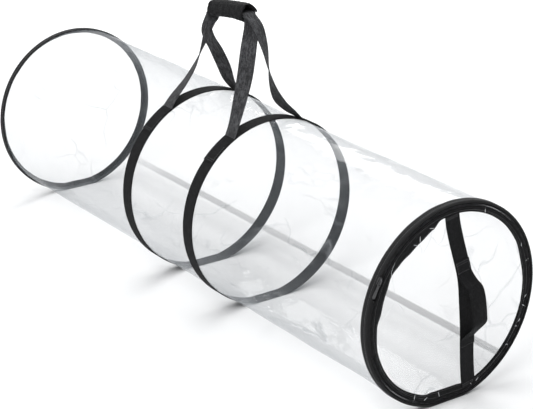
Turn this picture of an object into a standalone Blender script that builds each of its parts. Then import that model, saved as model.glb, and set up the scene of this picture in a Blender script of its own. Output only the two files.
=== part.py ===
"""Gift wrap organizer: a clear vinyl cylinder that lies on its side, with a zipped
round lid at the +X end, two girth straps, two carry handles held in a padded grip
wrap, and a webbing handle on the lid. Metres, +Z up, origin under the middle."""

from math import cos, sin, sqrt, radians, pi

import bpy
import bmesh
from mathutils import Matrix, Vector

# Overall case
case_length = 1.037
case_radius = 0.150
contact_half_angle = radians(11.0)
segments = 72
gap = 0.0003

# Clear vinyl
vinyl_wall = 0.0005
lap_width_angle = radians(4.0)
lap_angle = radians(-48.0)
lap_thickness = 0.0005

# Bound edges
binding_thickness = 0.0012
binding_width = 0.012
rear_lip_width = 0.009
front_lip_width = 0.0038
edge_round = 0.0011

# Girth straps and carry handles
strap_spacing = 0.174
strap_width = 0.025
webbing_thickness = 0.0012
sewn_angle_front = radians(137.0)
lift_angle_front = radians(118.0)
sewn_angle_back = radians(47.0)
lift_angle_back = radians(68.0)
tail_start_gap_angle = radians(0.5)
leg_width = 0.025
grip_web_clearance = 0.0004

# Grip wrap
grip_length = 0.094
grip_height = 0.4455
grip_tilt = radians(8.0)
grip_offset_y = -0.008
grip_inner_radius = 0.0112
grip_wall = 0.0018
patch_thickness = 0.0007
patch_gap = 0.0002
flap_thickness = 0.0012
slit_low_angle = radians(72.0)
slit_high_angle = radians(112.0)
flap_end_angle = radians(2.0)
patch_angle_low = radians(8.0)
patch_angle_high = radians(62.0)
patch_inset = 0.008
grip_segments = 40
web_half_spacing = 0.0020
grip_entry_shares = [1.10, 1.02, 0.88, 0.62, 0.30]

# Legs of the handles: shares of the way across, in and up, of the turn, and of the narrowing
front_low_leg_shares = [
    (0.00, 0.00, 0.00, 0.00, 0.0), (0.20, 0.00, 0.10, 0.03, 0.0), (0.50, 0.12, 0.25, 0.12, 0.0),
    (0.76, 0.26, 0.42, 0.27, 0.0), (0.90, 0.46, 0.60, 0.50, 0.0), (0.955, 0.68, 0.78, 0.82, 0.2),
    (0.985, 0.84, 0.93, 0.96, 0.7)]
front_high_leg_shares = [
    (0.00, 0.00, 0.00, 0.00, 0.0), (0.13, 0.00, 0.12, 0.04, 0.0), (0.32, 0.04, 0.33, 0.22, 0.0),
    (0.50, 0.12, 0.53, 0.42, 0.0), (0.70, 0.34, 0.74, 0.62, 0.1), (0.88, 0.70, 0.90, 0.90, 0.6)]
back_low_leg_shares = [
    (0.00, 0.00, 0.00, 0.00, 0.0), (0.20, 0.00, 0.12, 0.04, 0.0), (0.40, 0.10, 0.29, 0.18, 0.0),
    (0.62, 0.05, 0.48, 0.26, 0.0), (0.80, 0.12, 0.66, 0.34, 0.0), (0.92, 0.38, 0.84, 0.60, 0.3),
    (0.985, 0.70, 0.95, 0.90, 0.7)]
back_high_leg_shares = [
    (0.00, 0.00, 0.00, 0.00, 0.0), (0.24, 0.00, 0.08, -0.20, 0.0), (0.50, 0.12, 0.19, -0.18, 0.0),
    (0.66, 0.20, 0.34, 0.10, 0.0), (0.75, 0.27, 0.52, 0.40, 0.0), (0.84, 0.30, 0.70, 0.62, 0.1),
    (0.95, 0.50, 0.89, 0.90, 0.6)]

# Zip
tape_thickness = 0.0008
coil_width = 0.0016
coil_height = 0.0014
split_inset = 0.0066
tape_edge_clearance = 0.00025
lid_tape_width = 0.0100
zip_end_angle = radians(18.0)
stop_length_angle = radians(1.2)
stop_height = 0.0018
stop_setback = 0.0004
hinge_web_angle = radians(15.0)
hinge_web_width = 0.0023
hinge_web_setback = 0.0014
hinge_web_thickness = 0.0008

# Slider and pull
slider_angle = radians(152.0)
slider_length = 0.0110
slider_width = 0.0060
slider_setback = 0.0012
slider_plate = 0.0012
bridge_length = 0.0086
bridge_width = 0.0020
bridge_height = 0.0036
bridge_bar = 0.0010
pull_length = 0.0240
pull_width = 0.0050
pull_thickness = 0.0012
eye_length = 0.0052
eye_arm = 0.0011
eye_end_bar = 0.0010

# Lid
window_inset = 0.0049
border_width = 0.0095
border_thickness = 0.0010
bead_width = 0.0020
bead_height = 0.0010
lid_strap_tilt = radians(9.2)
lid_strap_offset = 0.0138
lid_strap_width = 0.025
lid_strap_end_inset = 0.0015
lid_strap_arch = 0.0137
strap_arch_shares = [(-1.0, 0.0), (-0.86, 0.02), (-0.70, 0.13), (-0.49, 0.37), (-0.28, 0.62), (-0.07, 0.80),
                     (0.10, 0.92), (0.24, 1.0), (0.38, 0.95), (0.54, 0.66), (0.72, 0.30), (0.88, 0.04), (1.0, 0.0)]
lid_handle_top = 0.069
lid_handle_bottom = -0.062
lid_handle_flat = 0.017
lid_handle_reach = 0.042
lid_handle_sag_share = 0.49
handle_fall_shares = [(0.23, 0.59), (0.37, 0.87), (0.62, 0.97)]
handle_return_shares = [(0.17, 0.99), (0.34, 0.96), (0.49, 0.78), (0.73, 0.40), (0.89, 0.17)]

# Places worked out from the sizes above
axis_height = case_radius * cos(contact_half_angle)
tube_radius = case_radius - binding_thickness - gap
split_radius = case_radius - split_inset
case_tape_outer_radius = tube_radius - tape_edge_clearance
window_radius = split_radius - window_inset
lid_strap_corner = lid_strap_offset + lid_strap_width / 2
lid_strap_half_length = sqrt((window_radius - lid_strap_end_inset) ** 2 - lid_strap_corner ** 2)
mid_x = -lid_handle_reach / 2
rear_x = mid_x - case_length / 2
front_x = mid_x + case_length / 2
lip_back_x = front_x - binding_thickness
tape_top_x = lip_back_x - gap
tape_low_x = tape_top_x - tape_thickness
coil_low_x = tape_top_x + gap
coil_top_x = coil_low_x + coil_height
window_low_x = tape_top_x + gap
window_top_x = window_low_x + vinyl_wall
border_low_x = window_top_x + gap
border_top_x = border_low_x + border_thickness
lid_strap_low_x = border_top_x + gap
lid_strap_top_x = lid_strap_low_x + webbing_thickness
handle_radius = case_radius + gap + webbing_thickness / 2
grip_outer_radius = grip_inner_radius + grip_wall
grip_web_width = 2 * sqrt((grip_inner_radius - grip_web_clearance) ** 2
                          - (web_half_spacing + webbing_thickness / 2) ** 2)

FABRIC = (0.016, 0.016, 0.017)
WEBBING = (0.024, 0.024, 0.026)
VINYL = (0.80, 0.83, 0.85)
NYLON = (0.010, 0.010, 0.011)


def clear_scene():
    """Remove every object that the scene holds."""
    for obj in list(bpy.data.objects):
        bpy.data.objects.remove(obj, do_unlink=True)


def material(name, color, roughness, metallic=0.0, alpha=1.0):
    """Return a Principled material of one colour."""
    mat = bpy.data.materials.get(name) or bpy.data.materials.new(name)
    mat.use_nodes = True
    shader = mat.node_tree.nodes["Principled BSDF"]
    shader.inputs["Base Color"].default_value = (*color, 1.0)
    shader.inputs["Roughness"].default_value = roughness
    shader.inputs["Metallic"].default_value = metallic
    shader.inputs["Alpha"].default_value = alpha
    return mat


def place_mesh(name, verts, faces, mat, parent=None, origin=(0.0, 0.0, 0.0)):
    """Make one closed object whose origin lies at origin, under an optional empty."""
    shift = Vector(origin)
    mesh = bpy.data.meshes.new(name)
    mesh.from_pydata([Vector(v) - shift for v in verts], [], faces)
    work = bmesh.new()
    work.from_mesh(mesh)
    bmesh.ops.recalc_face_normals(work, faces=work.faces)
    work.to_mesh(mesh)
    work.free()
    mesh.shade_smooth()
    mesh.set_sharp_from_angle(angle=radians(35.0))
    mesh.materials.append(mat)
    obj = bpy.data.objects.new(name, mesh)
    bpy.context.scene.collection.objects.link(obj)
    obj.location = shift
    if parent is not None:
        obj.parent = parent
        obj.location = shift - parent.location
    return obj


def pivot(name, place):
    """Make an empty on a joint's axis."""
    empty = bpy.data.objects.new(name, None)
    bpy.context.scene.collection.objects.link(empty)
    empty.location = place
    return empty


def round_point(x, radius, angle):
    """Return a point at a radius of the case, flattened where it meets the floor."""
    floor = -axis_height + (case_radius - radius)
    return (x, radius * cos(angle), axis_height + max(radius * sin(angle), floor))


def loft(rings, closed_path, closed_ends):
    """Return verts and faces that join equal rings of points."""
    count = len(rings[0])
    verts = [point for ring in rings for point in ring]
    faces = []
    spans = len(rings) if closed_path else len(rings) - 1
    for i in range(spans):
        a, b = i * count, ((i + 1) % len(rings)) * count
        for j in range(count):
            k = (j + 1) % count
            faces.append((a + j, a + k, b + k, b + j))
    if closed_ends:
        faces.append(tuple(range(count)))
        faces.append(tuple(reversed(range((len(rings) - 1) * count, len(verts)))))
    return verts, faces


def case_ring(name, section, mat, parent=None, start=None, end=None):
    """Turn a section of (x, radius) points round the case's axis, whole or in part."""
    if start is None:
        angles = [2 * pi * (i + 0.5) / segments for i in range(segments)]
    else:
        steps = max(2, round((end - start) * segments / (2 * pi)))
        angles = [start + (end - start) * i / steps for i in range(steps + 1)]
    rings = [[round_point(x, r, a) for x, r in section] for a in angles]
    verts, faces = loft(rings, start is None, start is not None)
    return place_mesh(name, verts, faces, mat, parent, parent.location if parent else (0, 0, 0))


def case_disc(name, low_x, high_x, radius, mat, parent=None):
    """Make a flat disc across the case."""
    angles = [2 * pi * (i + 0.5) / segments for i in range(segments)]
    rings = [[round_point(x, radius, a) for a in angles] for x in (low_x, high_x)]
    verts, faces = loft(rings, False, True)
    return place_mesh(name, verts, faces, mat, parent, parent.location if parent else (0, 0, 0))


def band(low_x, high_x, low_r, high_r):
    """Return a rectangular section."""
    return [(low_x, low_r), (high_x, low_r), (high_x, high_r), (low_x, high_r)]


def smooth_path(points, per_span):
    """Return points on a Catmull-Rom curve through points of any dimension."""
    last = len(points) - 1
    out = []
    for i in range(last):
        p0, p1 = points[max(i - 1, 0)], points[i]
        p2, p3 = points[i + 1], points[min(i + 2, last)]
        for k in range(per_span):
            t = k / per_span
            out.append(tuple(
                (2 * b + (c - a) * t + (2 * a - 5 * b + 4 * c - d) * t * t
                 + (3 * b - a - 3 * c + d) * t ** 3) / 2
                for a, b, c, d in zip(p0, p1, p2, p3)))
    out.append(tuple(points[last]))
    return out


def ribbon(name, stations, thickness, mat, parent=None):
    """Loft a flat strap through stations of (x, y, z, width vector x, y, z, width)."""
    centres = [Vector(s[:3]) for s in stations]
    rings = []
    for i, station in enumerate(stations):
        ahead = centres[min(i + 1, len(centres) - 1)]
        behind = centres[max(i - 1, 0)]
        tangent = (ahead - behind).normalized()
        across = Vector(station[3:6])
        across = (across - across.dot(tangent) * tangent).normalized()
        up = tangent.cross(across)
        half_w, half_t = across * station[6] / 2, up * thickness / 2
        c = centres[i]
        rings.append([c - half_w - half_t, c + half_w - half_t, c + half_w + half_t, c - half_w + half_t])
    verts, faces = loft(rings, False, True)
    return place_mesh(name, verts, faces, mat, parent, parent.location if parent else (0, 0, 0))


def box_verts(low, high):
    """Return the corners and faces of a box."""
    verts = [(x, y, z) for x in (low[0], high[0]) for y in (low[1], high[1]) for z in (low[2], high[2])]
    faces = [(0, 1, 3, 2), (4, 6, 7, 5), (0, 4, 5, 1), (2, 3, 7, 6), (0, 2, 6, 4), (1, 5, 7, 3)]
    return verts, faces


def combine(target, tool, operation):
    """Join or cut target with tool, whose object becomes a hidden guide."""
    tool.hide_render = True
    tool.display_type = "WIRE"
    modifier = target.modifiers.new(operation.lower(), "BOOLEAN")
    modifier.operation = operation
    modifier.solver = "EXACT"
    modifier.object = tool


def build_vinyl(clear):
    """The tube, its lap seam and the rear disc."""
    rear_disc_low = rear_x + binding_thickness + gap
    rear_disc_high = rear_disc_low + vinyl_wall
    tube_low, tube_high = rear_disc_high + gap, tape_low_x - gap
    tube_inner = tube_radius - vinyl_wall
    case_ring("body_tube", band(tube_low, tube_high, tube_inner, tube_radius), clear)
    lap_high = tube_inner - gap
    lap = band(tube_low + binding_width, tube_high - binding_width, lap_high - lap_thickness, lap_high)
    case_ring("tube_lap_seam", lap, clear, start=lap_angle, end=lap_angle + lap_width_angle)
    case_disc("rear_window", rear_disc_low, rear_disc_high, tube_radius, clear)


def binding_section(end_x, direction, lip_width):
    """Return an L section that folds over one end of the tube, rounded at its corner."""
    inner = case_radius - binding_thickness
    inside_x = end_x + direction * binding_thickness
    return [
        (end_x + direction * binding_width, inner),
        (inside_x, inner),
        (inside_x, case_radius - lip_width),
        (end_x, case_radius - lip_width),
        (end_x, case_radius - edge_round),
        (end_x + direction * edge_round * (1 - cos(pi / 4)), case_radius - edge_round * (1 - sin(pi / 4))),
        (end_x + direction * edge_round, case_radius),
        (end_x + direction * binding_width, case_radius),
    ]


def build_bindings(fabric):
    """The folded fabric edges at both ends."""
    case_ring("rear_binding", binding_section(rear_x, 1.0, rear_lip_width), fabric)
    case_ring("front_binding", binding_section(front_x, -1.0, front_lip_width), fabric)


def build_girth_straps(webbing):
    """The two straps round the case."""
    for letter, side in (("a", -1.0), ("b", 1.0)):
        middle = mid_x + side * strap_spacing / 2
        section = band(middle - strap_width / 2, middle + strap_width / 2,
                       case_radius - webbing_thickness, case_radius)
        case_ring("girth_strap_" + letter, section, webbing)


def build_handle_tails(webbing):
    """The ends of the carry handles, sewn flat on the girth straps."""
    sides = (("front", lift_angle_front + tail_start_gap_angle, sewn_angle_front),
             ("back", sewn_angle_back, lift_angle_back - tail_start_gap_angle))
    for name, start, end in sides:
        for letter, side in (("a", -1.0), ("b", 1.0)):
            middle = mid_x + side * strap_spacing / 2
            section = band(middle - strap_width / 2, middle + strap_width / 2,
                           case_radius + gap, case_radius + gap + webbing_thickness)
            case_ring("handle_tail_%s_%s" % (name, letter), section, webbing, start=start, end=end)


def grip_point(along, across, up):
    """Return a point in the grip's own frame, whose +X end is the higher one."""
    return (mid_x + along * cos(grip_tilt) - up * sin(grip_tilt), grip_offset_y + across,
            grip_height + along * sin(grip_tilt) + up * cos(grip_tilt))


def leg_stations(end, stack, lift_angle, twist, leg_shares):
    """Return stations up one leg of a handle, from the case into the grip.

    end is -1 for the leg at -X and 1 for the other one, stack is the webbing's height
    off the grip's middle, and twist is the way that the leg turns."""
    base = Vector(round_point(mid_x + end * strap_spacing / 2, handle_radius, lift_angle))
    way = Vector(grip_point(end * grip_length / 2, 0.0, stack)) - base
    stations = []
    for across_share, in_share, up_share, turn_share, narrow_share in leg_shares:
        place = base + Vector((way.x * in_share, way.y * across_share, way.z * up_share))
        turn = twist * turn_share * pi / 2
        width = leg_width + (grip_web_width - leg_width) * narrow_share
        stations.append((*place, cos(turn), sin(turn), 0.0, width))
    for reach_share in grip_entry_shares:
        place = grip_point(end * grip_length / 2 * reach_share, 0.0, stack)
        stations.append((*place, 0.0, twist, 0.0, grip_web_width))
    return stations


def build_handles(webbing):
    """The two carry handles, each one strap from leg to leg through the grip."""
    handles = (("front", -web_half_spacing, lift_angle_front, -1.0, front_low_leg_shares, front_high_leg_shares),
               ("back", web_half_spacing, lift_angle_back, 1.0, back_low_leg_shares, back_high_leg_shares))
    for name, stack, angle, twist, low_shares, high_shares in handles:
        rising = leg_stations(-1.0, stack, angle, twist, low_shares)
        other = leg_stations(1.0, stack, angle, -twist, high_shares)
        falling = [(*s[:3], -s[3], -s[4], -s[5], s[6]) for s in reversed(other)]
        ribbon(name + "_handle_web", smooth_path(rising + falling, 5), webbing_thickness, webbing)


def grip_arc(name, low_r, high_r, start, end, inset, mat, parent):
    """Make a curved sheet round the grip's axis."""
    steps = max(3, round((end - start) * grip_segments / (2 * pi)))
    half = grip_length / 2 - inset
    section = [(-half, low_r), (half, low_r), (half, high_r), (-half, high_r)]
    rings = []
    for i in range(steps + 1):
        a = start + (end - start) * i / steps
        rings.append([grip_point(along, r * cos(a), r * sin(a)) for along, r in section])
    verts, faces = loft(rings, False, True)
    return place_mesh(name, verts, faces, mat, parent, parent.location)


def build_grip(fabric, nylon):
    """The padded wrap, its flap and the hook and loop patches between them."""
    hook_low = grip_outer_radius + patch_gap
    hook_high = hook_low + patch_thickness
    loop_low = hook_high + patch_gap
    loop_high = loop_low + patch_thickness
    flap_low = loop_high + patch_gap
    flap_high = flap_low + flap_thickness
    sleeve_pivot = pivot("grip_pivot", grip_point(0.0, 0.0, 0.0))
    hinge = grip_point(0.0, flap_high * cos(slit_high_angle), flap_high * sin(slit_high_angle))
    flap_pivot = pivot("grip_flap_pivot", hinge)
    grip_arc("grip_sleeve", grip_inner_radius, grip_outer_radius,
             slit_high_angle, slit_low_angle + 2 * pi, 0.0, fabric, sleeve_pivot)
    grip_arc("hook_patch", hook_low, hook_high, patch_angle_low, patch_angle_high,
             patch_inset, nylon, sleeve_pivot)
    grip_arc("loop_patch", loop_low, loop_high, patch_angle_low, patch_angle_high,
             patch_inset, nylon, flap_pivot)
    grip_arc("grip_flap", flap_low, flap_high, flap_end_angle, slit_high_angle,
             0.0, fabric, flap_pivot)


def build_case_zip(fabric, nylon):
    """The case's half of the zip, its stops and the fabric hinge."""
    start, end = zip_end_angle - pi, pi - zip_end_angle
    inner = split_radius + gap / 2
    case_ring("zip_tape_case", band(tape_low_x, tape_top_x, inner, case_tape_outer_radius), fabric)
    coil = band(coil_low_x, coil_top_x, inner, inner + coil_width)
    case_ring("zip_coil_case", coil, nylon, start=start, end=end)
    stop = band(coil_low_x, coil_low_x + stop_height, inner + stop_setback, inner + coil_width)
    step = stop_length_angle
    case_ring("zip_stop_upper", stop, nylon, start=end + step / 2, end=end + step * 3 / 2)
    case_ring("zip_stop_lower", stop, nylon, start=start - step * 3 / 2, end=start - step / 2)
    web = band(coil_low_x, coil_low_x + hinge_web_thickness,
               inner + hinge_web_setback, inner + hinge_web_width)
    case_ring("lid_hinge_web", web, fabric, start=pi - hinge_web_angle, end=pi + hinge_web_angle)


def build_lid(fabric, webbing, nylon, clear):
    """The lid: its half of the zip, border, window, strap and handle."""
    hinge = pivot("lid_pivot", lid_hinge_place())
    outer = split_radius - gap / 2
    tape = band(tape_low_x, tape_top_x, outer - lid_tape_width, outer)
    case_ring("zip_tape_lid", tape, fabric, hinge)
    coil = band(coil_low_x, coil_top_x, outer - coil_width, outer)
    case_ring("zip_coil_lid", coil, nylon, hinge, zip_end_angle - pi, pi - zip_end_angle)
    case_disc("lid_window", window_low_x, window_top_x, window_radius, clear, hinge)
    border_outer = outer - coil_width - gap
    border_inner = border_outer - border_width
    bead_top = border_top_x + bead_height
    section = [(border_low_x, border_inner), (border_top_x, border_inner),
               (border_top_x, border_outer - bead_width),
               (bead_top, border_outer - bead_width * 3 / 4),
               (bead_top, border_outer - bead_width / 4),
               (border_top_x, border_outer), (border_low_x, border_outer)]
    case_ring("lid_border", section, fabric, hinge)
    build_lid_strap(webbing, hinge)


def lid_hinge_place():
    """Return a point on the lid's hinge line, beside the zip split at -Y."""
    return (tape_low_x, -(split_radius + hinge_web_width), axis_height)


def lid_strap_frame(x, along):
    """Return a point on the strap's middle line, at a height along it."""
    y = lid_strap_offset * cos(lid_strap_tilt) - along * sin(lid_strap_tilt)
    z = axis_height + lid_strap_offset * sin(lid_strap_tilt) + along * cos(lid_strap_tilt)
    return (x, y, z)


def lid_strap_line():
    """Return (height along the strap, x) points of the strap, which stands off the window in an arch."""
    strap_x = (lid_strap_low_x + lid_strap_top_x) / 2
    points = [(along_share * lid_strap_half_length, strap_x + lid_strap_arch * arch_share)
              for along_share, arch_share in strap_arch_shares]
    return [(along, max(x, strap_x)) for along, x in smooth_path(points, 3)]


def lid_handle_seat(along):
    """Return the x at which the handle's webbing lies on the strap, at a height along it."""
    line = lid_strap_line()
    for (low, low_x), (high, high_x) in zip(line, line[1:]):
        if low <= along <= high:
            strap_x = low_x + (high_x - low_x) * (along - low) / (high - low)
            return strap_x + webbing_thickness + gap
    return lid_strap_top_x + webbing_thickness / 2 + gap


def lid_handle_line():
    """Return (height along the strap, x) points down the handle loop."""
    flat_x = lid_strap_top_x + gap + webbing_thickness / 2
    out_x = front_x + lid_handle_reach - webbing_thickness / 2
    sag = lid_handle_bottom + (lid_handle_top - lid_handle_bottom) * lid_handle_sag_share
    leave = lid_handle_top - lid_handle_flat
    end = lid_handle_bottom - lid_handle_flat / 3
    points = [(lid_handle_top, lid_handle_seat(lid_handle_top)), (leave, lid_handle_seat(leave))]
    for down_share, out_share in handle_fall_shares:
        points.append((leave + (sag - leave) * down_share, flat_x + (out_x - flat_x) * out_share))
    points.append((sag, out_x))
    for down_share, out_share in handle_return_shares:
        points.append((sag + (lid_handle_bottom - sag) * down_share, flat_x + (out_x - flat_x) * out_share))
    points.append((lid_handle_bottom, lid_handle_seat(lid_handle_bottom)))
    points.append((end, lid_handle_seat(end)))
    return [(along, min(max(x, lid_handle_seat(along)), out_x)) for along, x in smooth_path(points, 4)]


def build_lid_strap(webbing, hinge):
    """The webbing across the lid and the handle loop sewn on it."""
    across = (0.0, cos(lid_strap_tilt), sin(lid_strap_tilt))
    stations = [(*lid_strap_frame(x, along), *across, lid_strap_width) for along, x in lid_strap_line()]
    ribbon("lid_strap", stations, webbing_thickness, webbing, hinge)
    stations = [(*lid_strap_frame(x, along), *across, lid_strap_width) for along, x in lid_handle_line()]
    ribbon("lid_handle", stations, webbing_thickness, webbing, hinge)


def build_slider(metal):
    """The zip slider with its bridge, and the pull that swings in it."""
    centre_r = split_radius + slider_setback + slider_width / 2
    base_x = max(coil_top_x, front_x) + gap
    place = Vector(round_point(base_x, centre_r, slider_angle))
    radial = Vector((0.0, cos(slider_angle), sin(slider_angle)))
    along = Vector((0.0, -sin(slider_angle), cos(slider_angle)))
    out = Vector((1.0, 0.0, 0.0))
    turn = Matrix((radial, along, out)).transposed()

    def local(name, low, high, mat, origin):
        verts, faces = box_verts(low, high)
        return place_mesh(name, [place + turn @ Vector(v) for v in verts], faces, mat, None, origin)

    turning_axis = Vector((mid_x, 0.0, axis_height))
    half_w, half_l = slider_width / 2, slider_length / 2
    slider = local("zip_slider", (-half_w, -half_l, 0.0), (half_w, half_l, slider_plate), metal, turning_axis)
    bridge_low = slider_plate * 3 / 4
    bridge_top = slider_plate + bridge_height
    half_b, half_bl = bridge_width / 2, bridge_length / 2
    bridge = local("slider_bridge_guide", (-half_b, -half_bl, bridge_low), (half_b, half_bl, bridge_top),
                   metal, turning_axis)
    window_top = bridge_top - bridge_bar
    overrun = bridge_bar
    window = local("slider_bridge_window", (-half_b - overrun, -half_bl + bridge_bar, slider_plate),
                   (half_b + overrun, half_bl - bridge_bar, window_top), metal, turning_axis)
    combine(slider, bridge, "UNION")
    combine(slider, window, "DIFFERENCE")
    pin_height = (slider_plate + window_top) / 2
    pin = place + turn @ Vector((0.0, 0.0, pin_height))
    low = (-pull_width / 2, -eye_end_bar / 2, pin_height - pull_thickness / 2)
    high = (pull_width / 2, pull_length, pin_height + pull_thickness / 2)
    pull = local("zip_pull", low, high, metal, pin)
    eye_low = (-pull_width / 2 + eye_arm, eye_end_bar / 2, low[2] - overrun)
    eye_high = (pull_width / 2 - eye_arm, eye_end_bar / 2 + eye_length, high[2] + overrun)
    eye = local("zip_pull_eye", eye_low, eye_high, metal, pin)
    combine(pull, eye, "DIFFERENCE")


def build():
    """Build every sub-part."""
    clear_scene()
    clear = material("clear_vinyl", VINYL, 0.08, alpha=0.25)
    fabric = material("black_fabric", FABRIC, 0.85)
    webbing = material("black_webbing", WEBBING, 0.80)
    nylon = material("black_nylon", NYLON, 0.45)
    metal = material("black_enamel", NYLON, 0.35, metallic=0.6)
    build_vinyl(clear)
    build_bindings(fabric)
    build_girth_straps(webbing)
    build_handle_tails(webbing)
    build_handles(webbing)
    build_grip(fabric, nylon)
    build_case_zip(fabric, nylon)
    build_lid(fabric, webbing, nylon, clear)
    build_slider(metal)


build()
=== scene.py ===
"""Looks of a gift wrap organizer: a clear vinyl case on its side with bound edges,
a zipped lid, webbing straps, and two carry handles held in a padded grip wrap."""

import logging
from dataclasses import dataclass, field
from enum import Enum
from math import atan2, cos, degrees, exp, pi, radians, sin, sqrt
from typing import Callable, Optional, Sequence

import bmesh
import bpy
from mathutils import Matrix, Vector, noise


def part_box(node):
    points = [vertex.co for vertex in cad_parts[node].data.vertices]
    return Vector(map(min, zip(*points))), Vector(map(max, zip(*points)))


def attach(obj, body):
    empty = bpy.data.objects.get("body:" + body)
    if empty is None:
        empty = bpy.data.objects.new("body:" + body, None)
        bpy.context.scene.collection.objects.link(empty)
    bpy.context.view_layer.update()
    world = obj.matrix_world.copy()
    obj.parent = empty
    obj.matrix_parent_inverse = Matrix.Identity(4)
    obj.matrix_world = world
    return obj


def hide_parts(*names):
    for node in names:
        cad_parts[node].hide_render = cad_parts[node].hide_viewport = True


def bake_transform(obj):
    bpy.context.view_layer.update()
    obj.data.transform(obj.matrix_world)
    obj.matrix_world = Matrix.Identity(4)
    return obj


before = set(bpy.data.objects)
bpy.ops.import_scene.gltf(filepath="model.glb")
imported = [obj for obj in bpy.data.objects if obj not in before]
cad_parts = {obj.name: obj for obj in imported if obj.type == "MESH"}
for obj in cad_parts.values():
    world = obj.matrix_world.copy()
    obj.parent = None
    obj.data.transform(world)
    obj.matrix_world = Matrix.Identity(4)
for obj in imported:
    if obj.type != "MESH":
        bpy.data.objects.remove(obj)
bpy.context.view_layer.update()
log = logging.getLogger("organizer")

Point = tuple[float, float, float]
Profile = Sequence[tuple[float, float]]
Run = tuple[list[Vector], list[Vector]]
Warp = Callable[[float, float, float], tuple[float, float]]
Height = Callable[[float, float], float]
MM = 0.001
OUT = Vector((1.0, 0.0, 0.0))


class Body(Enum):
    """The moving groups of the part."""

    CASE = "case"
    LID = "lid"
    SLIDER = "slider"
    PULL = "pull"
    GRIP = "grip"
    FLAP = "flap"


class Slot(Enum):
    """The part's material slots."""

    VINYL = "clear_vinyl"
    FABRIC = "black_fabric"
    WEBBING = "black_webbing"
    NYLON = "zip_nylon"
    METAL = "slider_metal"
    HOOK_LOOP = "hook_and_loop"


class Graph:
    """A short way to write a material's or the world's node graph."""

    def __init__(self, name: str, world: bool = False) -> None:
        """Start a graph whose only shader is a Principled one, or the world's background.

        Args:
            name: The material's or the world's name.
            world: Whether it is the world's.
        """
        self.material = (bpy.data.worlds if world else bpy.data.materials).new(name)
        self.material.use_nodes = True
        self.tree = self.material.node_tree
        self.shader = self.tree.nodes["Background" if world else "Principled BSDF"]

    def add(self, kind: str, settings: Optional[dict] = None, **inputs: object) -> bpy.types.Node:
        """Add a node.

        Args:
            kind: The node type without its ShaderNode prefix.
            settings: Properties of the node itself.
            inputs: Values or sockets by input name, with _ for a space, or i0, i1 by place.

        Returns:
            The new node.
        """
        node = self.tree.nodes.new("ShaderNode" + kind)
        for key, value in (settings or {}).items():
            setattr(node, key, value)
        for key, value in inputs.items():
            by_place = key[0] == "i" and key[1:].isdigit()
            socket = node.inputs[int(key[1:])] if by_place else node.inputs[key.replace("_", " ")]
            if isinstance(value, bpy.types.NodeSocket):
                self.tree.links.new(value, socket)
            else:
                socket.default_value = value
        return node

    def math(self, operation: str, *values: object) -> bpy.types.NodeSocket:
        """Return the result of a Math node on up to three values or sockets."""
        named = {"i%d" % place: value for place, value in enumerate(values)}
        return self.add("Math", {"operation": operation}, **named).outputs[0]

    def blend(self, factor: object, low: Sequence[float], high: Sequence[float]) -> bpy.types.NodeSocket:
        """Return a colour between two colours or sockets."""
        node = self.add("MixRGB", None, Fac=factor)
        for socket, value in ((node.inputs[1], low), (node.inputs[2], high)):
            if isinstance(value, bpy.types.NodeSocket):
                self.tree.links.new(value, socket)
            else:
                socket.default_value = (*value, 1.0)
        return node.outputs[0]

    def ramp(self, factor: bpy.types.NodeSocket, low: float, high: float,
             to_low: float = 0.0, to_high: float = 1.0) -> bpy.types.NodeSocket:
        """Return factor mapped from one range to another, clamped."""
        node = self.add("MapRange", None, Value=factor, From_Min=low, From_Max=high,
                        To_Min=to_low, To_Max=to_high)
        return node.outputs[0]

    def bump(self, height: bpy.types.NodeSocket, distance: float, strength: float = 1.0,
             under: Optional[bpy.types.NodeSocket] = None) -> bpy.types.NodeSocket:
        """Return a normal bumped by a height, over another normal if one is given."""
        inputs = {"Height": height, "Distance": distance, "Strength": strength}
        if under is not None:
            inputs["Normal"] = under
        return self.add("Bump", None, **inputs).outputs[0]

    def link(self, socket: bpy.types.NodeSocket, name: str) -> None:
        """Join a socket to the shader's input of that name."""
        self.tree.links.new(socket, self.shader.inputs[name])

    def set(self, **values: object) -> None:
        """Set the shader's own inputs, with _ for a space in a name."""
        for key, value in values.items():
            self.shader.inputs[key.replace("_", " ")].default_value = value


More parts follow.
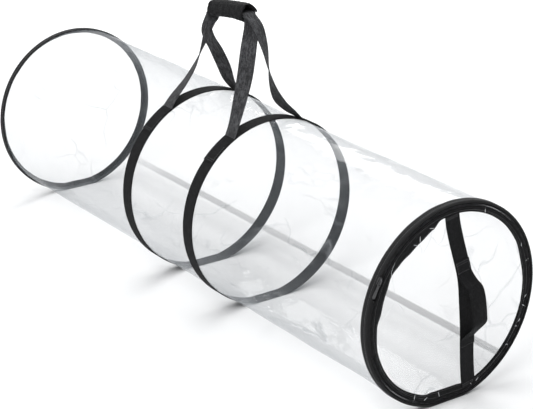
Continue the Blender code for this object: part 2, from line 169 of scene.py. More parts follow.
@dataclass(frozen=True)
class WovenFinish:
    """Black woven cloth or webbing, woven along the mesh's UV map, which is in metres."""

    name: str
    dark: Point
    light: Point
    pitch: float
    depth: float
    twill: float = 0.0
    roughness: float = 0.8
    sheen: float = 0.25
    fuzz: float = 0.35
    streaks: float = 0.30
    gloss: float = 0.25

    def build(self) -> bpy.types.Material:
        """Return the cloth's material."""
        g = Graph(self.name)
        uv = g.add("UVMap").outputs[0]
        part = g.add("SeparateXYZ", None, i0=uv)
        along, across = part.outputs[0], part.outputs[1]
        lean = g.math("PINGPONG", across, 6 * self.pitch)
        along = g.math("ADD", along, g.math("MULTIPLY", lean, self.twill))
        turn = 2 * pi / self.pitch
        warp = g.math("SINE", g.math("MULTIPLY", along, turn))
        weft = g.math("SINE", g.math("MULTIPLY", across, turn))
        yarn = g.math("MULTIPLY", g.math("ADD", g.math("MULTIPLY", warp, weft), warp), 0.5)
        place = g.add("TexCoord").outputs["Object"]
        lint = g.add("TexNoise", None, Vector=place, Scale=900.0, Detail=3.0).outputs[0]
        wear = g.add("TexNoise", None, Vector=place, Scale=28.0, Detail=6.0, Roughness=0.65).outputs[0]
        speck = g.add("TexNoise", None, Vector=place, Scale=420.0, Detail=2.0).outputs[0]
        tone = g.math("ADD", g.ramp(yarn, -1.0, 1.0, 0.0, 0.40), g.ramp(lint, 0.40, 0.7, 0.0, 0.22))
        tone = g.math("ADD", tone, g.ramp(speck, 0.48, 0.72, 0.0, 0.55))
        drawn = g.add("VectorMath", {"operation": "MULTIPLY"}, i0=uv, i1=(110.0, 380.0, 1.0)).outputs[0]
        streak = g.add("TexNoise", None, Vector=drawn, Scale=1.0, Detail=2.0).outputs[0]
        tone = g.math("ADD", tone, g.ramp(streak, 0.44, 0.66, 0.0, self.streaks))
        tone = g.math("MULTIPLY", tone, g.ramp(wear, 0.3, 0.7, 0.45, 1.2))
        g.link(g.blend(tone, self.dark, self.light), "Base Color")
        rough = g.ramp(wear, 0.3, 0.7, self.roughness - 0.08, self.roughness + 0.08)
        g.link(rough, "Roughness")
        fine = g.bump(lint, self.depth * self.fuzz, 0.6)
        coarse = g.bump(wear, self.depth * 3, 0.35, fine)
        g.link(g.bump(yarn, self.depth, 0.9, coarse), "Normal")
        g.set(Sheen_Weight=self.sheen, Sheen_Roughness=0.45, Specular_IOR_Level=self.gloss)
        return g.material


@dataclass(frozen=True)
class VinylFinish:
    """Clear vinyl sheet with soft waves, creases and rubbed patches."""

    name: str
    tint: Point
    crease_scale: Point
    crease_depth: float
    wave_depth: float
    haze: float
    rim: float = 0.22
    # Lighter grey of the crease lines: painted glint and shade on real creases.
    wear_and_glint_tone: Point = (0.50, 0.53, 0.56)

    def build(self) -> bpy.types.Material:
        """Return the vinyl's material."""
        g = Graph(self.name)
        place = g.add("TexCoord").outputs["Object"]
        bent = g.add("TexNoise", None, Vector=place, Scale=9.0, Detail=2.0).outputs["Color"]
        moved = g.add("VectorMath", {"operation": "MULTIPLY_ADD"}, i0=bent, i1=(0.12, 0.12, 0.12), i2=place)
        stretched = g.add("VectorMath", {"operation": "MULTIPLY"}, i0=moved.outputs[0], i1=self.crease_scale)
        cells = g.add("TexVoronoi", {"feature": "DISTANCE_TO_EDGE"}, Vector=stretched.outputs[0], Scale=1.0)
        patches = g.add("TexNoise", None, Vector=place, Scale=7.0, Detail=2.0).outputs[0]
        where = g.ramp(patches, 0.54, 0.68)
        line = g.ramp(cells.outputs[0], 0.0, 0.035, 1.0, 0.0)
        crease = g.math("MULTIPLY", line, where)
        wave = g.add("TexNoise", None, Vector=place, Scale=14.0, Detail=3.0, Roughness=0.45).outputs[0]
        ripple = g.add("TexNoise", None, Vector=place, Scale=70.0, Detail=2.0).outputs[0]
        normal = g.bump(wave, self.wave_depth, 1.0)
        normal = g.bump(ripple, self.wave_depth * 0.12, 0.8, normal)
        normal = g.bump(crease, self.crease_depth, 0.8, normal)
        g.link(normal, "Normal")
        rub = g.add("TexNoise", None, Vector=place, Scale=3.5, Detail=8.0, Roughness=0.7).outputs[0]
        g.link(g.ramp(rub, 0.35, 0.75, 0.03, 0.14), "Roughness")
        edge = g.math("POWER", g.add("LayerWeight", None, Blend=0.5).outputs["Facing"], 4.0)
        body = g.ramp(edge, 0.0, 1.0, self.haze, self.rim)
        tilted = g.math("POWER", g.add("LayerWeight", None, Blend=0.5, Normal=normal).outputs["Facing"], 3.0)
        shine = g.ramp(tilted, 0.02, 0.8, 0.0, 0.12)
        veil = g.ramp(rub, 0.40, 0.75, 0.0, 0.022)
        # The crease lines are drawn more opaque: painted shade and glint along the creases.
        folds = g.math("ADD", veil, g.math("MULTIPLY", crease, 0.14))
        alpha = g.math("ADD", g.math("ADD", body, shine), folds)
        g.link(g.math("MINIMUM", alpha, 1.0), "Alpha")
        g.link(g.blend(crease, self.tint, self.wear_and_glint_tone), "Base Color")
        g.set(IOR=1.7, Specular_IOR_Level=1.0)
        return g.material


@dataclass(frozen=True)
class PlainFinish:
    """A solid finish with fine grain and wear, for nylon, thread, enamel, pile and the painted glints."""

    name: str
    base: Point
    wear_and_glint_tone: Point
    roughness: float
    grain: float
    depth: float
    coat: float = 0.0
    sheen: float = 0.0

    def build(self) -> bpy.types.Material:
        """Return the finish's material."""
        g = Graph(self.name)
        place = g.add("TexCoord").outputs["Object"]
        grain = g.add("TexNoise", None, Vector=place, Scale=self.grain, Detail=4.0).outputs[0]
        rub = g.add("TexNoise", None, Vector=place, Scale=self.grain / 12, Detail=5.0).outputs[0]
        edge = g.add("NewGeometry").outputs["Pointiness"]
        wear = g.math("MULTIPLY", g.ramp(edge, 0.52, 0.60), g.ramp(rub, 0.45, 0.6))
        tone = g.math("ADD", g.ramp(grain, 0.3, 0.7, 0.0, 0.3), wear)
        g.link(g.blend(g.math("MINIMUM", tone, 1.0), self.base, self.wear_and_glint_tone), "Base Color")
        g.link(g.ramp(rub, 0.3, 0.7, self.roughness * 0.8, self.roughness * 1.2), "Roughness")
        g.link(g.bump(grain, self.depth, 0.7), "Normal")
        g.set(Coat_Weight=self.coat, Sheen_Weight=self.sheen)
        return g.material


@dataclass(frozen=True)
class Finishes:
    """Every finish of the object, built once."""

    webbing: bpy.types.Material
    handles: bpy.types.Material
    tape: bpy.types.Material
    fabric: bpy.types.Material
    tube: bpy.types.Material
    seam: bpy.types.Material
    sheet: bpy.types.Material
    painted_glints: bpy.types.Material
    nylon: bpy.types.Material
    thread: bpy.types.Material
    enamel: bpy.types.Material
    pile: bpy.types.Material


def build_finishes() -> Finishes:
    """Build the finishes.

    Returns:
        The materials by use.
    """
    tube_tint, tube_creases = (0.30, 0.33, 0.36), (4.0, 13.0, 13.0)
    return Finishes(
        webbing=WovenFinish("webbing", (0.0028, 0.0028, 0.0031), (0.022, 0.022, 0.0235), pitch=1.5 * MM,
                            depth=0.40 * MM, twill=0.9, sheen=0.02, gloss=0.10).build(),
        # The same black webbing as the straps, painted lighter to stand for the light that falls on the
        # raised handles.
        handles=WovenFinish("handle_webbing_painted_lighter", (0.006, 0.006, 0.0065), (0.085, 0.085, 0.090), pitch=1.5 * MM,
                            depth=0.40 * MM, twill=0.9, sheen=0.05, streaks=0.8, gloss=0.2).build(),
        tape=WovenFinish("binding_tape", (0.0022, 0.0022, 0.0025), (0.012, 0.012, 0.013), pitch=0.9 * MM,
                         depth=0.18 * MM, roughness=0.72, sheen=0.03).build(),
        fabric=WovenFinish("plain_fabric", (0.002, 0.002, 0.0023), (0.017, 0.017, 0.018), pitch=0.8 * MM,
                           depth=0.18 * MM, sheen=0.02, streaks=0.7, gloss=0.12).build(),
        tube=VinylFinish("tube_vinyl", tube_tint, tube_creases, 0.9 * MM, 6.0 * MM, 0.025).build(),
        seam=VinylFinish("seam_vinyl", (0.42, 0.45, 0.48), tube_creases, 0.9 * MM, 6.0 * MM, 0.006,
                         rim=0.07).build(),
        sheet=VinylFinish("disc_vinyl", tube_tint, (14.0, 14.0, 14.0), 0.8 * MM, 4.0 * MM, 0.023).build(),
        # Whitish, nearly opaque vinyl: a painted highlight for the glints on the lid's sheet.
        painted_glints=PlainFinish("painted_glint_vinyl", (0.70, 0.73, 0.76), (0.92, 0.93, 0.94),
                            0.18, 700.0, 0.05 * MM, coat=0.6).build(),
        nylon=PlainFinish("coil_nylon", (0.008, 0.008, 0.009), (0.05, 0.05, 0.055),
                          0.38, 1500.0, 0.02 * MM).build(),
        thread=PlainFinish("thread", (0.030, 0.030, 0.032), (0.085, 0.085, 0.09),
                           0.6, 2500.0, 0.04 * MM, sheen=0.3).build(),
        enamel=PlainFinish("enamel", (0.006, 0.006, 0.007), (0.10, 0.10, 0.11),
                           0.30, 900.0, 0.012 * MM, coat=0.3).build(),
        pile=PlainFinish("pile", (0.010, 0.010, 0.011), (0.05, 0.05, 0.054),
                         0.9, 1400.0, 0.35 * MM, sheen=0.5).build(),
    )


def show(name: str, mesh: bpy.types.Mesh, material: bpy.types.Material) -> bpy.types.Object:
    """Give a mesh its finish and put it in the scene."""
    mesh.materials.append(material)
    return place_object(name, mesh)


def place_object(name: str, data: bpy.types.ID) -> bpy.types.Object:
    """Put an object into the scene."""
    obj = bpy.data.objects.new(name, data)
    bpy.context.scene.collection.objects.link(obj)
    return obj


def mesh_piece(name: str, verts: Sequence[Sequence[float]], faces: Sequence[Sequence[int]],
               material: bpy.types.Material, uvs: Optional[Sequence[tuple[float, float]]] = None,
               sharp: float = 40.0) -> bpy.types.Object:
    """Make a shown mesh.

    Args:
        name: The piece's name.
        verts: The points.
        faces: The faces, as places in verts.
        material: The piece's finish.
        uvs: A UV place in metres for each point.
        sharp: The least angle of an edge that stays sharp, in degrees.

    Returns:
        The object, with its faces pointing out.
    """
    mesh = bpy.data.meshes.new(name)
    mesh.from_pydata([Vector(v) for v in verts], [], faces)
    if uvs is not None:
        layer = mesh.uv_layers.new(name="UVMap")
        for loop in mesh.loops:
            layer.data[loop.index].uv = uvs[loop.vertex_index]
    work = bmesh.new()
    work.from_mesh(mesh)
    bmesh.ops.recalc_face_normals(work, faces=work.faces)
    work.to_mesh(mesh)
    work.free()
    mesh.shade_smooth()
    mesh.set_sharp_from_angle(angle=radians(sharp))
    return show(name, mesh, material)


def rim_faces(first: int, second: int, count: int) -> list[tuple[int, ...]]:
    """Return the faces between two rings of count points, from the rings' first points."""
    steps = [(j, (j + 1) % count) for j in range(count)]
    return [(first + j, first + k, second + k, second + j) for j, k in steps]


def grid_faces(rows: int, columns: int, closed_rows: bool = False, closed_columns: bool = False,
               capped: bool = False) -> list[tuple[int, ...]]:
    """Return the faces of a grid of points, row by row.

    Args:
        rows: The count of rows.
        columns: The count of points in a row.
        closed_rows: Whether the last row meets the first.
        closed_columns: Whether each row is a ring.
        capped: Whether the first and last rows are filled.
    """
    faces: list[tuple[int, ...]] = []
    for i in range(rows if closed_rows else rows - 1):
        ring = rim_faces(i * columns, (i + 1) % rows * columns, columns)
        faces += ring if closed_columns else ring[:-1]
    if capped:
        faces.append(tuple(range(columns)))
        faces.append(tuple(reversed(range((rows - 1) * columns, rows * columns))))
    return faces


def finish_piece(obj: bpy.types.Object, body: Body, slot: Slot, *nodes: str) -> bpy.types.Object:
    """Put a piece on its body, and let it stand for CAD nodes.

    Args:
        obj: The piece.
        body: The body that it rides on.
        slot: The slot of its finish; not used.
        nodes: The CAD nodes that it replaces.

    Returns:
        The same piece.
    """
    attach(obj, body.value)
    if nodes:
        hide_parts(*nodes)
    log.info("%s rides on %s and replaces %s", obj.name, body.value, ", ".join(nodes) or "nothing")
    return obj


def bend_piece(obj: bpy.types.Object, bodies: tuple[Body, Body],
               node: str) -> None:
    """Bake a piece's place into its points, and let it stand for a CAD node.

    Args:
        obj: The piece.
        bodies: The body at its start and the one at its end.
        node: The CAD node that it replaces.
    """
    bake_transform(obj)
    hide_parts(node)
    log.info("%s bends between %s and %s", obj.name, bodies[0].value, bodies[1].value)


def rounded_section(half_width: float, half_height: float, edge: float, steps: int = 3) -> Profile:
    """Return a flat strap's section with rounded edges, as (across, up) points."""
    points = []
    corners = ((1, 1, 0), (-1, 1, 1), (-1, -1, 2), (1, -1, 3))
    for sx, sy, quarter in corners:
        for k in range(steps + 1):
            a = (quarter + k / steps) * pi / 2
            points.append((sx * (half_width - edge) + edge * cos(a),
                           sy * (half_height - edge) + edge * sin(a)))
    return points


@dataclass(frozen=True)
class Shape:
    """Sizes and places of the case, worked out from the CAD part."""

    radius: float = 0.150
    contact_half_angle: float = radians(11.0)
    split_radius: float = 0.1434
    strap_spacing: float = 0.174
    strap_width: float = 0.025
    webbing: float = 0.0012
    lift_front: float = radians(118.0)
    lift_back: float = radians(68.0)
    tail_middle: float = 0.0009
    rear_x: float = field(default_factory=lambda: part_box("rear_binding")[0][0])
    front_x: float = field(default_factory=lambda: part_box("front_binding")[1][0])
    reach_x: float = field(default_factory=lambda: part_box("lid_handle")[1][0])

    @property
    def axis_z(self) -> float:
        """Return the height of the case's axis."""
        return self.radius * cos(self.contact_half_angle)

    @property
    def mid_x(self) -> float:
        """Return the middle of the case along X."""
        return (self.rear_x + self.front_x) / 2

    def at(self, x: float, r: float, a: float) -> Point:
        """Return the point at radius r and angle a, flattened where the case lies on the floor."""
        floor = -self.axis_z + max(self.radius - r, 0.0)
        return (x, r * cos(a), self.axis_z + max(r * sin(a), floor))


SHAPE = Shape()


def turned(name: str, section: Profile, material: bpy.types.Material,
           steps: int = 288, start: float = 0.0, end: float = 2 * pi,
           warp: Optional[Warp] = None) -> bpy.types.Object:
    """Turn a closed section round the case's axis.

    Args:
        name: The piece's name.
        section: The (x, radius) points.
        material: The finish.
        steps: The count of steps round a full turn.
        start: The first angle.
        end: The last angle.
        warp: A change of (x, radius) from (x, radius, angle).

    Returns:
        The piece, with UVs in metres.
    """
    full = end - start > 2 * pi - 1e-6
    count = max(4, round(steps * (end - start) / (2 * pi)))
    lengths = [0.0]
    for (x0, r0), (x1, r1) in zip(section, section[1:]):
        lengths.append(lengths[-1] + sqrt((x1 - x0) ** 2 + (r1 - r0) ** 2))
    verts, uvs = [], []
    for i in range(count if full else count + 1):
        a = start + (end - start) * i / count
        for (x, r), length in zip(section, lengths):
            wx, wr = warp(x, r, a) if warp else (x, r)
            verts.append(SHAPE.at(wx, wr, a))
            uvs.append((a * SHAPE.radius, length))
    rows = count if full else count + 1
    faces = grid_faces(rows, len(section), closed_rows=full, closed_columns=True, capped=not full)
    return mesh_piece(name, verts, faces, material, uvs)


def ripple(x: float, y: float, z: float) -> float:
    """Return smooth noise from -1 to 1 at a point."""
    return noise.noise(Vector((x, y, z)))


def wobble(place: float, seed: float, scale: float = 1.0) -> float:
    """Return smooth noise from -1 to 1 that repeats round a turn of place, in radians."""
    return ripple(cos(place) * scale, sin(place) * scale, seed)


def thread_ring(middle: Vector, side: Vector, up: Vector, radius: float, sides: int) -> list[Vector]:
    """Return the points of a ring round a thread."""
    turns = [2 * pi * k / sides for k in range(sides)]
    return [middle + (side * cos(turn) + up * sin(turn)) * radius for turn in turns]


def stitch_run(points: Sequence[Vector], ups: Sequence[Vector], pitch: float, length: float,
               thick: float) -> tuple[list[Vector], list[tuple[int, ...]]]:
    """Return the points and faces of thread stitches along a line.

    Args:
        points: The line's points.
        ups: The way out of the cloth at each point.
        pitch: The distance from stitch to stitch.
        length: The length of a stitch.
        thick: The thread's thickness.
    """
    verts: list[Vector] = []
    faces: list[tuple[int, ...]] = []
    travelled, wanted = 0.0, 0.0
    one_stitch = grid_faces(5, 6, closed_columns=True, capped=True)
    for a, b, up in zip(points, points[1:], ups):
        step = (b - a).length
        if step < 1e-9:
            continue
        along = (b - a) / step
        side = along.cross(up).normalized()
        while wanted <= travelled + step:
            centre = a + along * (wanted - travelled)
            base = len(verts)
            for share, swell, lift in ((-0.5, 0.45, -0.35), (-0.3, 0.95, 0.3), (0.0, 1.0, 0.5),
                                       (0.3, 0.95, 0.3), (0.5, 0.45, -0.35)):
                middle = centre + along * (length * share) + up * (thick * lift)
                verts += thread_ring(middle, side, up, thick * swell / 2, 6)
            faces += [tuple(base + v for v in f) for f in one_stitch]
            wanted += pitch
        travelled += step
    return verts, faces


def stitches(name: str, body: Body, runs: Sequence[Run], material: bpy.types.Material,
             pitch: float = 3.4 * MM, length: float = 2.5 * MM, thick: float = 0.55 * MM) -> bpy.types.Object:
    """Make the stitches of several lines as one piece, pressed flat on the floor under the case.

    Args:
        name: The piece's name.
        body: The body that it rides on.
        runs: Pairs of points and outward directions.
        material: The thread.
        pitch: The distance from stitch to stitch.
        length: The length of a stitch.
        thick: The thread's thickness.

    Returns:
        The piece.
    """
    verts: list[Vector] = []
    faces: list[tuple[int, ...]] = []
    for points, ups in runs:
        more, more_faces = stitch_run(points, ups, pitch, length, thick)
        faces.extend(tuple(v + len(verts) for v in f) for f in more_faces)
        verts.extend(Vector((v.x, v.y, max(v.z, 0.0))) for v in more)
    return finish_piece(mesh_piece(name, verts, faces, material, sharp=60.0), body, Slot.FABRIC)


def circle_run(x: float, r: float, outward: bool, steps: int = 720,
               start: float = 0.0, end: float = 2 * pi) -> Run:
    """Return a stitch line round the case, facing outward from the axis or along +X."""
    angles = [start + (end - start) * i / steps for i in range(steps + 1)]
    points = [Vector(SHAPE.at(x, r, a)) for a in angles]
    ups = [Vector((0.0, cos(a), sin(a))) if outward else OUT for a in angles]
    return points, ups


def smooth_path(points: Sequence[Sequence[float]], per_span: int) -> list[tuple[float, ...]]:
    """Return points on a Catmull-Rom curve through points of any dimension."""
    last = len(points) - 1
    out: list[tuple[float, ...]] = []
    for i in range(last):
        p0, p1 = points[max(i - 1, 0)], points[i]
        p2, p3 = points[i + 1], points[min(i + 2, last)]
        for k in range(per_span):
            t = k / per_span
            out.append(tuple((2 * b + (c - a) * t + (2 * a - 5 * b + 4 * c - d) * t * t
                              + (3 * b - a - 3 * c + d) * t ** 3) / 2 for a, b, c, d in zip(p0, p1, p2, p3)))
    out.append(tuple(points[last]))
    return out


@dataclass
class Strap:
    """A length of webbing lofted through stations.

    Each station is (x, y, z, width vector x, y, z, width)."""

    stations: Sequence[Sequence[float]]
    thickness: float

    def frames(self) -> list[tuple[Vector, Vector, Vector, float]]:
        """Return each station's centre, across and up vectors, and its width."""
        centres = [Vector(s[:3]) for s in self.stations]
        out = []
        for i, station in enumerate(self.stations):
            tangent = (centres[min(i + 1, len(centres) - 1)] - centres[max(i - 1, 0)]).normalized()
            across = Vector(station[3:6])
            across = (across - across.dot(tangent) * tangent).normalized()
            out.append((centres[i], across, tangent.cross(across), station[6]))
        return out

    def build(self, name: str, material: bpy.types.Material) -> bpy.types.Object:
        """Return the webbing as a closed mesh with UVs in metres."""
        verts, uvs = [], []
        length = 0.0
        frames = self.frames()
        for i, (centre, across, up, width) in enumerate(frames):
            if i:
                length += (centre - frames[i - 1][0]).length
            for s, h in self.section(width):
                verts.append(centre + across * s + up * h)
                uvs.append((length, s + h))
        faces = grid_faces(len(frames), len(verts) // len(frames), closed_columns=True, capped=True)
        return mesh_piece(name, verts, faces, material, uvs)

    def section(self, width: float) -> Profile:
        """Return the webbing's section, with points across both faces and round selvedges."""
        half_t = self.thickness / 2
        flat = width / 2 - half_t
        top = [(-flat + 2 * flat * k / 8, half_t) for k in range(9)]
        bottom = [(-s, -h) for s, h in top]
        right = [(flat + half_t * 0.85, half_t * 0.4), (flat + half_t * 0.85, -half_t * 0.4)]
        left = [(-s, -h) for s, h in right]
        return top + right + bottom + left


def coil_piece(name: str, centre_r: float, half_r: float, mid: float, half_x: float,
               material: bpy.types.Material, start: float, end: float,
               pitch: float = 1.4 * MM, wire: float = 0.27 * MM) -> bpy.types.Object:
    """Wind a zip's nylon coil round the lid's edge.

    Args:
        name: The piece's name.
        centre_r: The radius of the coil's middle from the case's axis.
        half_r: Half of its width, to the wire's middle.
        mid: The x of its middle.
        half_x: Half of its height, to the wire's middle.
        material: The nylon.
        start: The first angle.
        end: The last angle.
        pitch: The distance from tooth to tooth.
        wire: The wire's radius.

    Returns:
        The piece.
    """
    per_turn, sides = 8, 5
    turns = int((end - start) * centre_r / pitch)
    verts, faces = [], []
    count = turns * per_turn + 1
    path = []
    for i in range(count):
        phase = 2 * pi * i / per_turn
        a = start + (end - start) * i / (count - 1)
        r, x = centre_r + half_r * cos(phase), mid + half_x * sin(phase)
        path.append((Vector(SHAPE.at(x, r, a)), Vector(SHAPE.at(mid, centre_r, a))))
    for i, (point, centre) in enumerate(path):
        tangent = (path[min(i + 1, count - 1)][0] - path[max(i - 1, 0)][0]).normalized()
        up = (point - centre).normalized()
        verts += thread_ring(point, tangent.cross(up).normalized(), up, wire, sides)
    faces = grid_faces(count, sides, closed_columns=True, capped=True)
    return mesh_piece(name, verts, faces, material, sharp=80.0)


def smooth_step(value: float) -> float:
    """Return a smooth step of value from 0 to 1."""
    t = min(max(value, 0.0), 1.0)
    return t * t * (3 - 2 * t)


@dataclass
class ClearTube:
    """The vinyl tube with its lap seam, and the rear disc."""

    finishes: Finishes
    radius: float = 0.1485
    wall: float = 0.0005
    dent: float = 0.0024
    held_reach: float = 0.055
    columns: int = 300
    turns: int = 288
    lap_angle: float = radians(-48.0)
    lap_span: float = radians(4.0)

    def held(self, x: float) -> float:
        """Return 0 where a strap or binding holds the vinyl, and 1 in the middle of a long span."""
        edges = [(SHAPE.rear_x, SHAPE.rear_x + 0.012), (SHAPE.front_x - 0.012, SHAPE.front_x)]
        for side in (-1.0, 1.0):
            middle = SHAPE.mid_x + side * SHAPE.strap_spacing / 2
            edges.append((middle - SHAPE.strap_width / 2, middle + SHAPE.strap_width / 2))
        away = min(max(low - x, x - high, 0.0) for low, high in edges)
        return smooth_step(away / self.held_reach)

    def radius_at(self, x: float, a: float) -> float:
        """Return the tube's outer radius with its long soft waves and dents."""
        y, z = cos(a), sin(a)
        waves = ripple(x * 3.5, y * 3.2, z * 3.2)
        dents = ripple(x * 11.0 + 7.0, y * 4.5, z * 4.5 + 3.0)
        fine = ripple(x * 30.0, y * 9.0 + 5.0, z * 9.0)
        depth = 0.45 + 0.55 * waves + 0.35 * dents + 0.06 * fine
        return self.radius - self.dent * self.held(x) * min(max(depth, 0.0), 1.0)

    def build(self) -> None:
        """Build the tube, the seam and the disc."""
        low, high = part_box("body_tube")
        verts, uvs = [], []
        for inner in (False, True):
            for i in range(self.columns + 1):
                x = low[0] + (high[0] - low[0]) * i / self.columns
                for j in range(self.turns):
                    a = 2 * pi * (j + 0.5) / self.turns
                    r = self.radius_at(x, a) - (self.wall if inner else 0.0)
                    verts.append(SHAPE.at(x, r, a))
                    uvs.append((x, a * self.radius))
        shell = grid_faces(self.columns + 1, self.turns, closed_columns=True)
        base = (self.columns + 1) * self.turns
        faces = shell + [tuple(v + base for v in reversed(f)) for f in shell]
        for first in (0, self.columns * self.turns):
            faces += rim_faces(first, base + first, self.turns)
        tube = mesh_piece("vinyl_tube", verts, faces, self.finishes.tube, uvs)
        finish_piece(tube, Body.CASE, Slot.VINYL, "body_tube")
        self.build_seam()
        self.build_disc()

    def build_seam(self) -> None:
        """Build the welded strip inside the tube."""
        low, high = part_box("tube_lap_seam")
        steps, across = 160, 8
        verts = []
        for i in range(steps + 1):
            x = low[0] + (high[0] - low[0]) * i / steps
            ring = []
            for depth in (0.0003, 0.0008):
                row = []
                for j in range(across + 1):
                    a = self.lap_angle + self.lap_span * j / across
                    row.append(SHAPE.at(x, self.radius_at(x, a) - self.wall - depth, a))
                ring += row if depth < 0.0005 else row[::-1]
            verts += ring
        faces = grid_faces(steps + 1, 2 * across + 2, closed_columns=True, capped=True)
        seam = mesh_piece("vinyl_lap_seam", verts, faces, self.finishes.seam)
        finish_piece(seam, Body.CASE, Slot.VINYL, "tube_lap_seam")

    def build_disc(self) -> None:
        """Build the rear disc, drawn tight at its edge."""
        low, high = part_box("rear_window")

        def bulge(r: float, a: float) -> float:
            """Return how far the disc stands off its plane."""
            y, z = r * cos(a), r * sin(a)
            slack = smooth_step((0.138 - r) / 0.05)
            pucker = 0.0003 * ripple(cos(a) * 14.0, sin(a) * 14.0, 1.0)
            soft = 0.0016 * ripple(y * 12.0, z * 12.0, 4.0)
            return soft * slack + pucker * smooth_step(1 - abs(r - 0.125) / 0.03)

        disc = disc_piece("rear_disc", low[0], high[0], self.radius, bulge, self.finishes.sheet, 192, 60)
        finish_piece(disc, Body.CASE, Slot.VINYL, "rear_window")


def disc_piece(name: str, low: float, high: float, radius: float, bulge: Height,
               material: bpy.types.Material, turns: int, rings: int) -> bpy.types.Object:
    """Make a thin disc across the case.

    Args:
        name: The piece's name.
        low: The x of its inner face.
        high: The x of its outer face.
        radius: Its radius.
        bulge: The shift in x from (radius, angle).
        material: Its finish.
        turns: The count of points round it.
        rings: The count of rings from the middle to the edge.

    Returns:
        The piece, with UVs in metres.
    """
    verts, uvs, faces = [], [], []
    size = rings * turns + 1
    for x in (low, high):
        verts.append((x + bulge(0.0, 0.0), 0.0, SHAPE.axis_z))
        uvs.append((0.0, 0.0))
        for i in range(1, rings + 1):
            r = radius * i / rings
            for j in range(turns):
                a = 2 * pi * (j + 0.5) / turns
                verts.append(SHAPE.at(x + bulge(r, a), r, a))
                uvs.append((r * cos(a), r * sin(a)))
    for side in (0, 1):
        base = side * size
        for j in range(turns):
            k = (j + 1) % turns
            faces.append((base, base + 1 + j, base + 1 + k))
            for i in range(rings - 1):
                a, b = base + 1 + i * turns, base + 1 + (i + 1) * turns
                faces.append((a + j, b + j, b + k, a + k))
    edge = 1 + (rings - 1) * turns
    return mesh_piece(name, verts, faces + rim_faces(edge, size + edge, turns), material, uvs)


@dataclass
class EdgeBindings:
    """The folded tapes sewn over both ends of the tube."""

    finishes: Finishes
    thickness: float = 0.0012
    width: float = 0.012
    rear_lip: float = 0.009
    front_lip: float = 0.0038
    bead: float = 0.0022
    hinge_clear: float = radians(17.0)

    def build(self) -> None:
        """Build both bindings and their stitches."""
        self.build_rear()
        self.build_front()

    def build_rear(self) -> None:
        """Build the rear binding, with a soft fold at the corner."""
        end, outer, t = SHAPE.rear_x, SHAPE.radius, self.thickness
        section = [(end + self.width, outer - t), (end + t, outer - t), (end + t, outer - self.rear_lip),
                   (end + t * 0.4, outer - self.rear_lip - 0.0003), (end, outer - self.rear_lip + 0.0004),
                   (end - 0.0002, outer - 0.005), (end, outer - 0.0022)]
        for k in range(1, 6):
            turn = k / 5 * pi / 2
            section.append((end + 0.0022 * (1 - cos(turn)), outer - 0.0022 * (1 - sin(turn))))
        section += [(end + 0.006, outer + 0.0001), (end + 0.0085, outer - 0.0002), (end + 0.0105, outer),
                    (end + self.width - 0.0002, outer - 0.0003)]

        def warp(x: float, r: float, a: float) -> tuple[float, float]:
            """Let the tape's free edges wander a little."""
            far = smooth_step((x - end - 0.006) / 0.005)
            deep = smooth_step((outer - 0.004 - r) / 0.004)
            return (x + far * 0.0007 * wobble(a, 2.0, 5.0), r + deep * 0.0006 * wobble(a, 8.0, 6.0))

        ring = turned("rear_edge_binding", section, self.finishes.tape, warp=warp)
        finish_piece(ring, Body.CASE, Slot.FABRIC, "rear_binding")
        points, ups = circle_run(end - 0.0002, outer - 0.0068, False)
        runs = [circle_run(end + 0.0088, outer + 0.0001, True), (points, [-up for up in ups])]
        stitches("rear_binding_stitches", Body.CASE, runs, self.finishes.thread)

    def near_hinge(self, a: float) -> float:
        """Return 0 beside the fabric hinge and 1 away from it."""
        turn = abs(a % (2 * pi) - pi)
        return smooth_step((turn - self.hinge_clear) / radians(7.0))

    def build_front(self) -> None:
        """Build the front binding with its rolled bead."""
        end, outer, t = SHAPE.front_x, SHAPE.radius, self.thickness
        centre = (end - 0.0013, outer - self.bead)
        section = [(end - self.width, outer - t), (end - t, outer - t), (end - t, outer - self.front_lip),
                   (end, outer - self.front_lip), (end + 0.0001, outer - self.front_lip + 0.0005)]
        for k in range(9):
            turn = radians(-35.0 + 130.0 * k / 8)
            section.append((centre[0] + self.bead * cos(turn), centre[1] + self.bead * sin(turn)))
        section += [(end - 0.0036, outer - 0.0007), (end - 0.0050, outer - 0.0002), (end - 0.0075, outer),
                    (end - 0.0105, outer), (end - self.width + 0.0002, outer - 0.0003)]

        def warp(x: float, r: float, a: float) -> tuple[float, float]:
            """Press the bead flat beside the hinge, and let the free edge wander."""
            if x > end:
                x = end + (x - end) * self.near_hinge(a)
            far = smooth_step((end - 0.006 - x) / 0.005)
            return (x + far * 0.0007 * wobble(a, 5.0, 5.0), r)

        ring = turned("front_edge_binding", section, self.finishes.tape, warp=warp)
        finish_piece(ring, Body.CASE, Slot.FABRIC, "front_binding")
        runs = [circle_run(end - 0.0042, outer - 0.0004, True), circle_run(end - 0.0100, outer, True)]
        stitches("front_binding_stitches", Body.CASE, runs, self.finishes.thread)


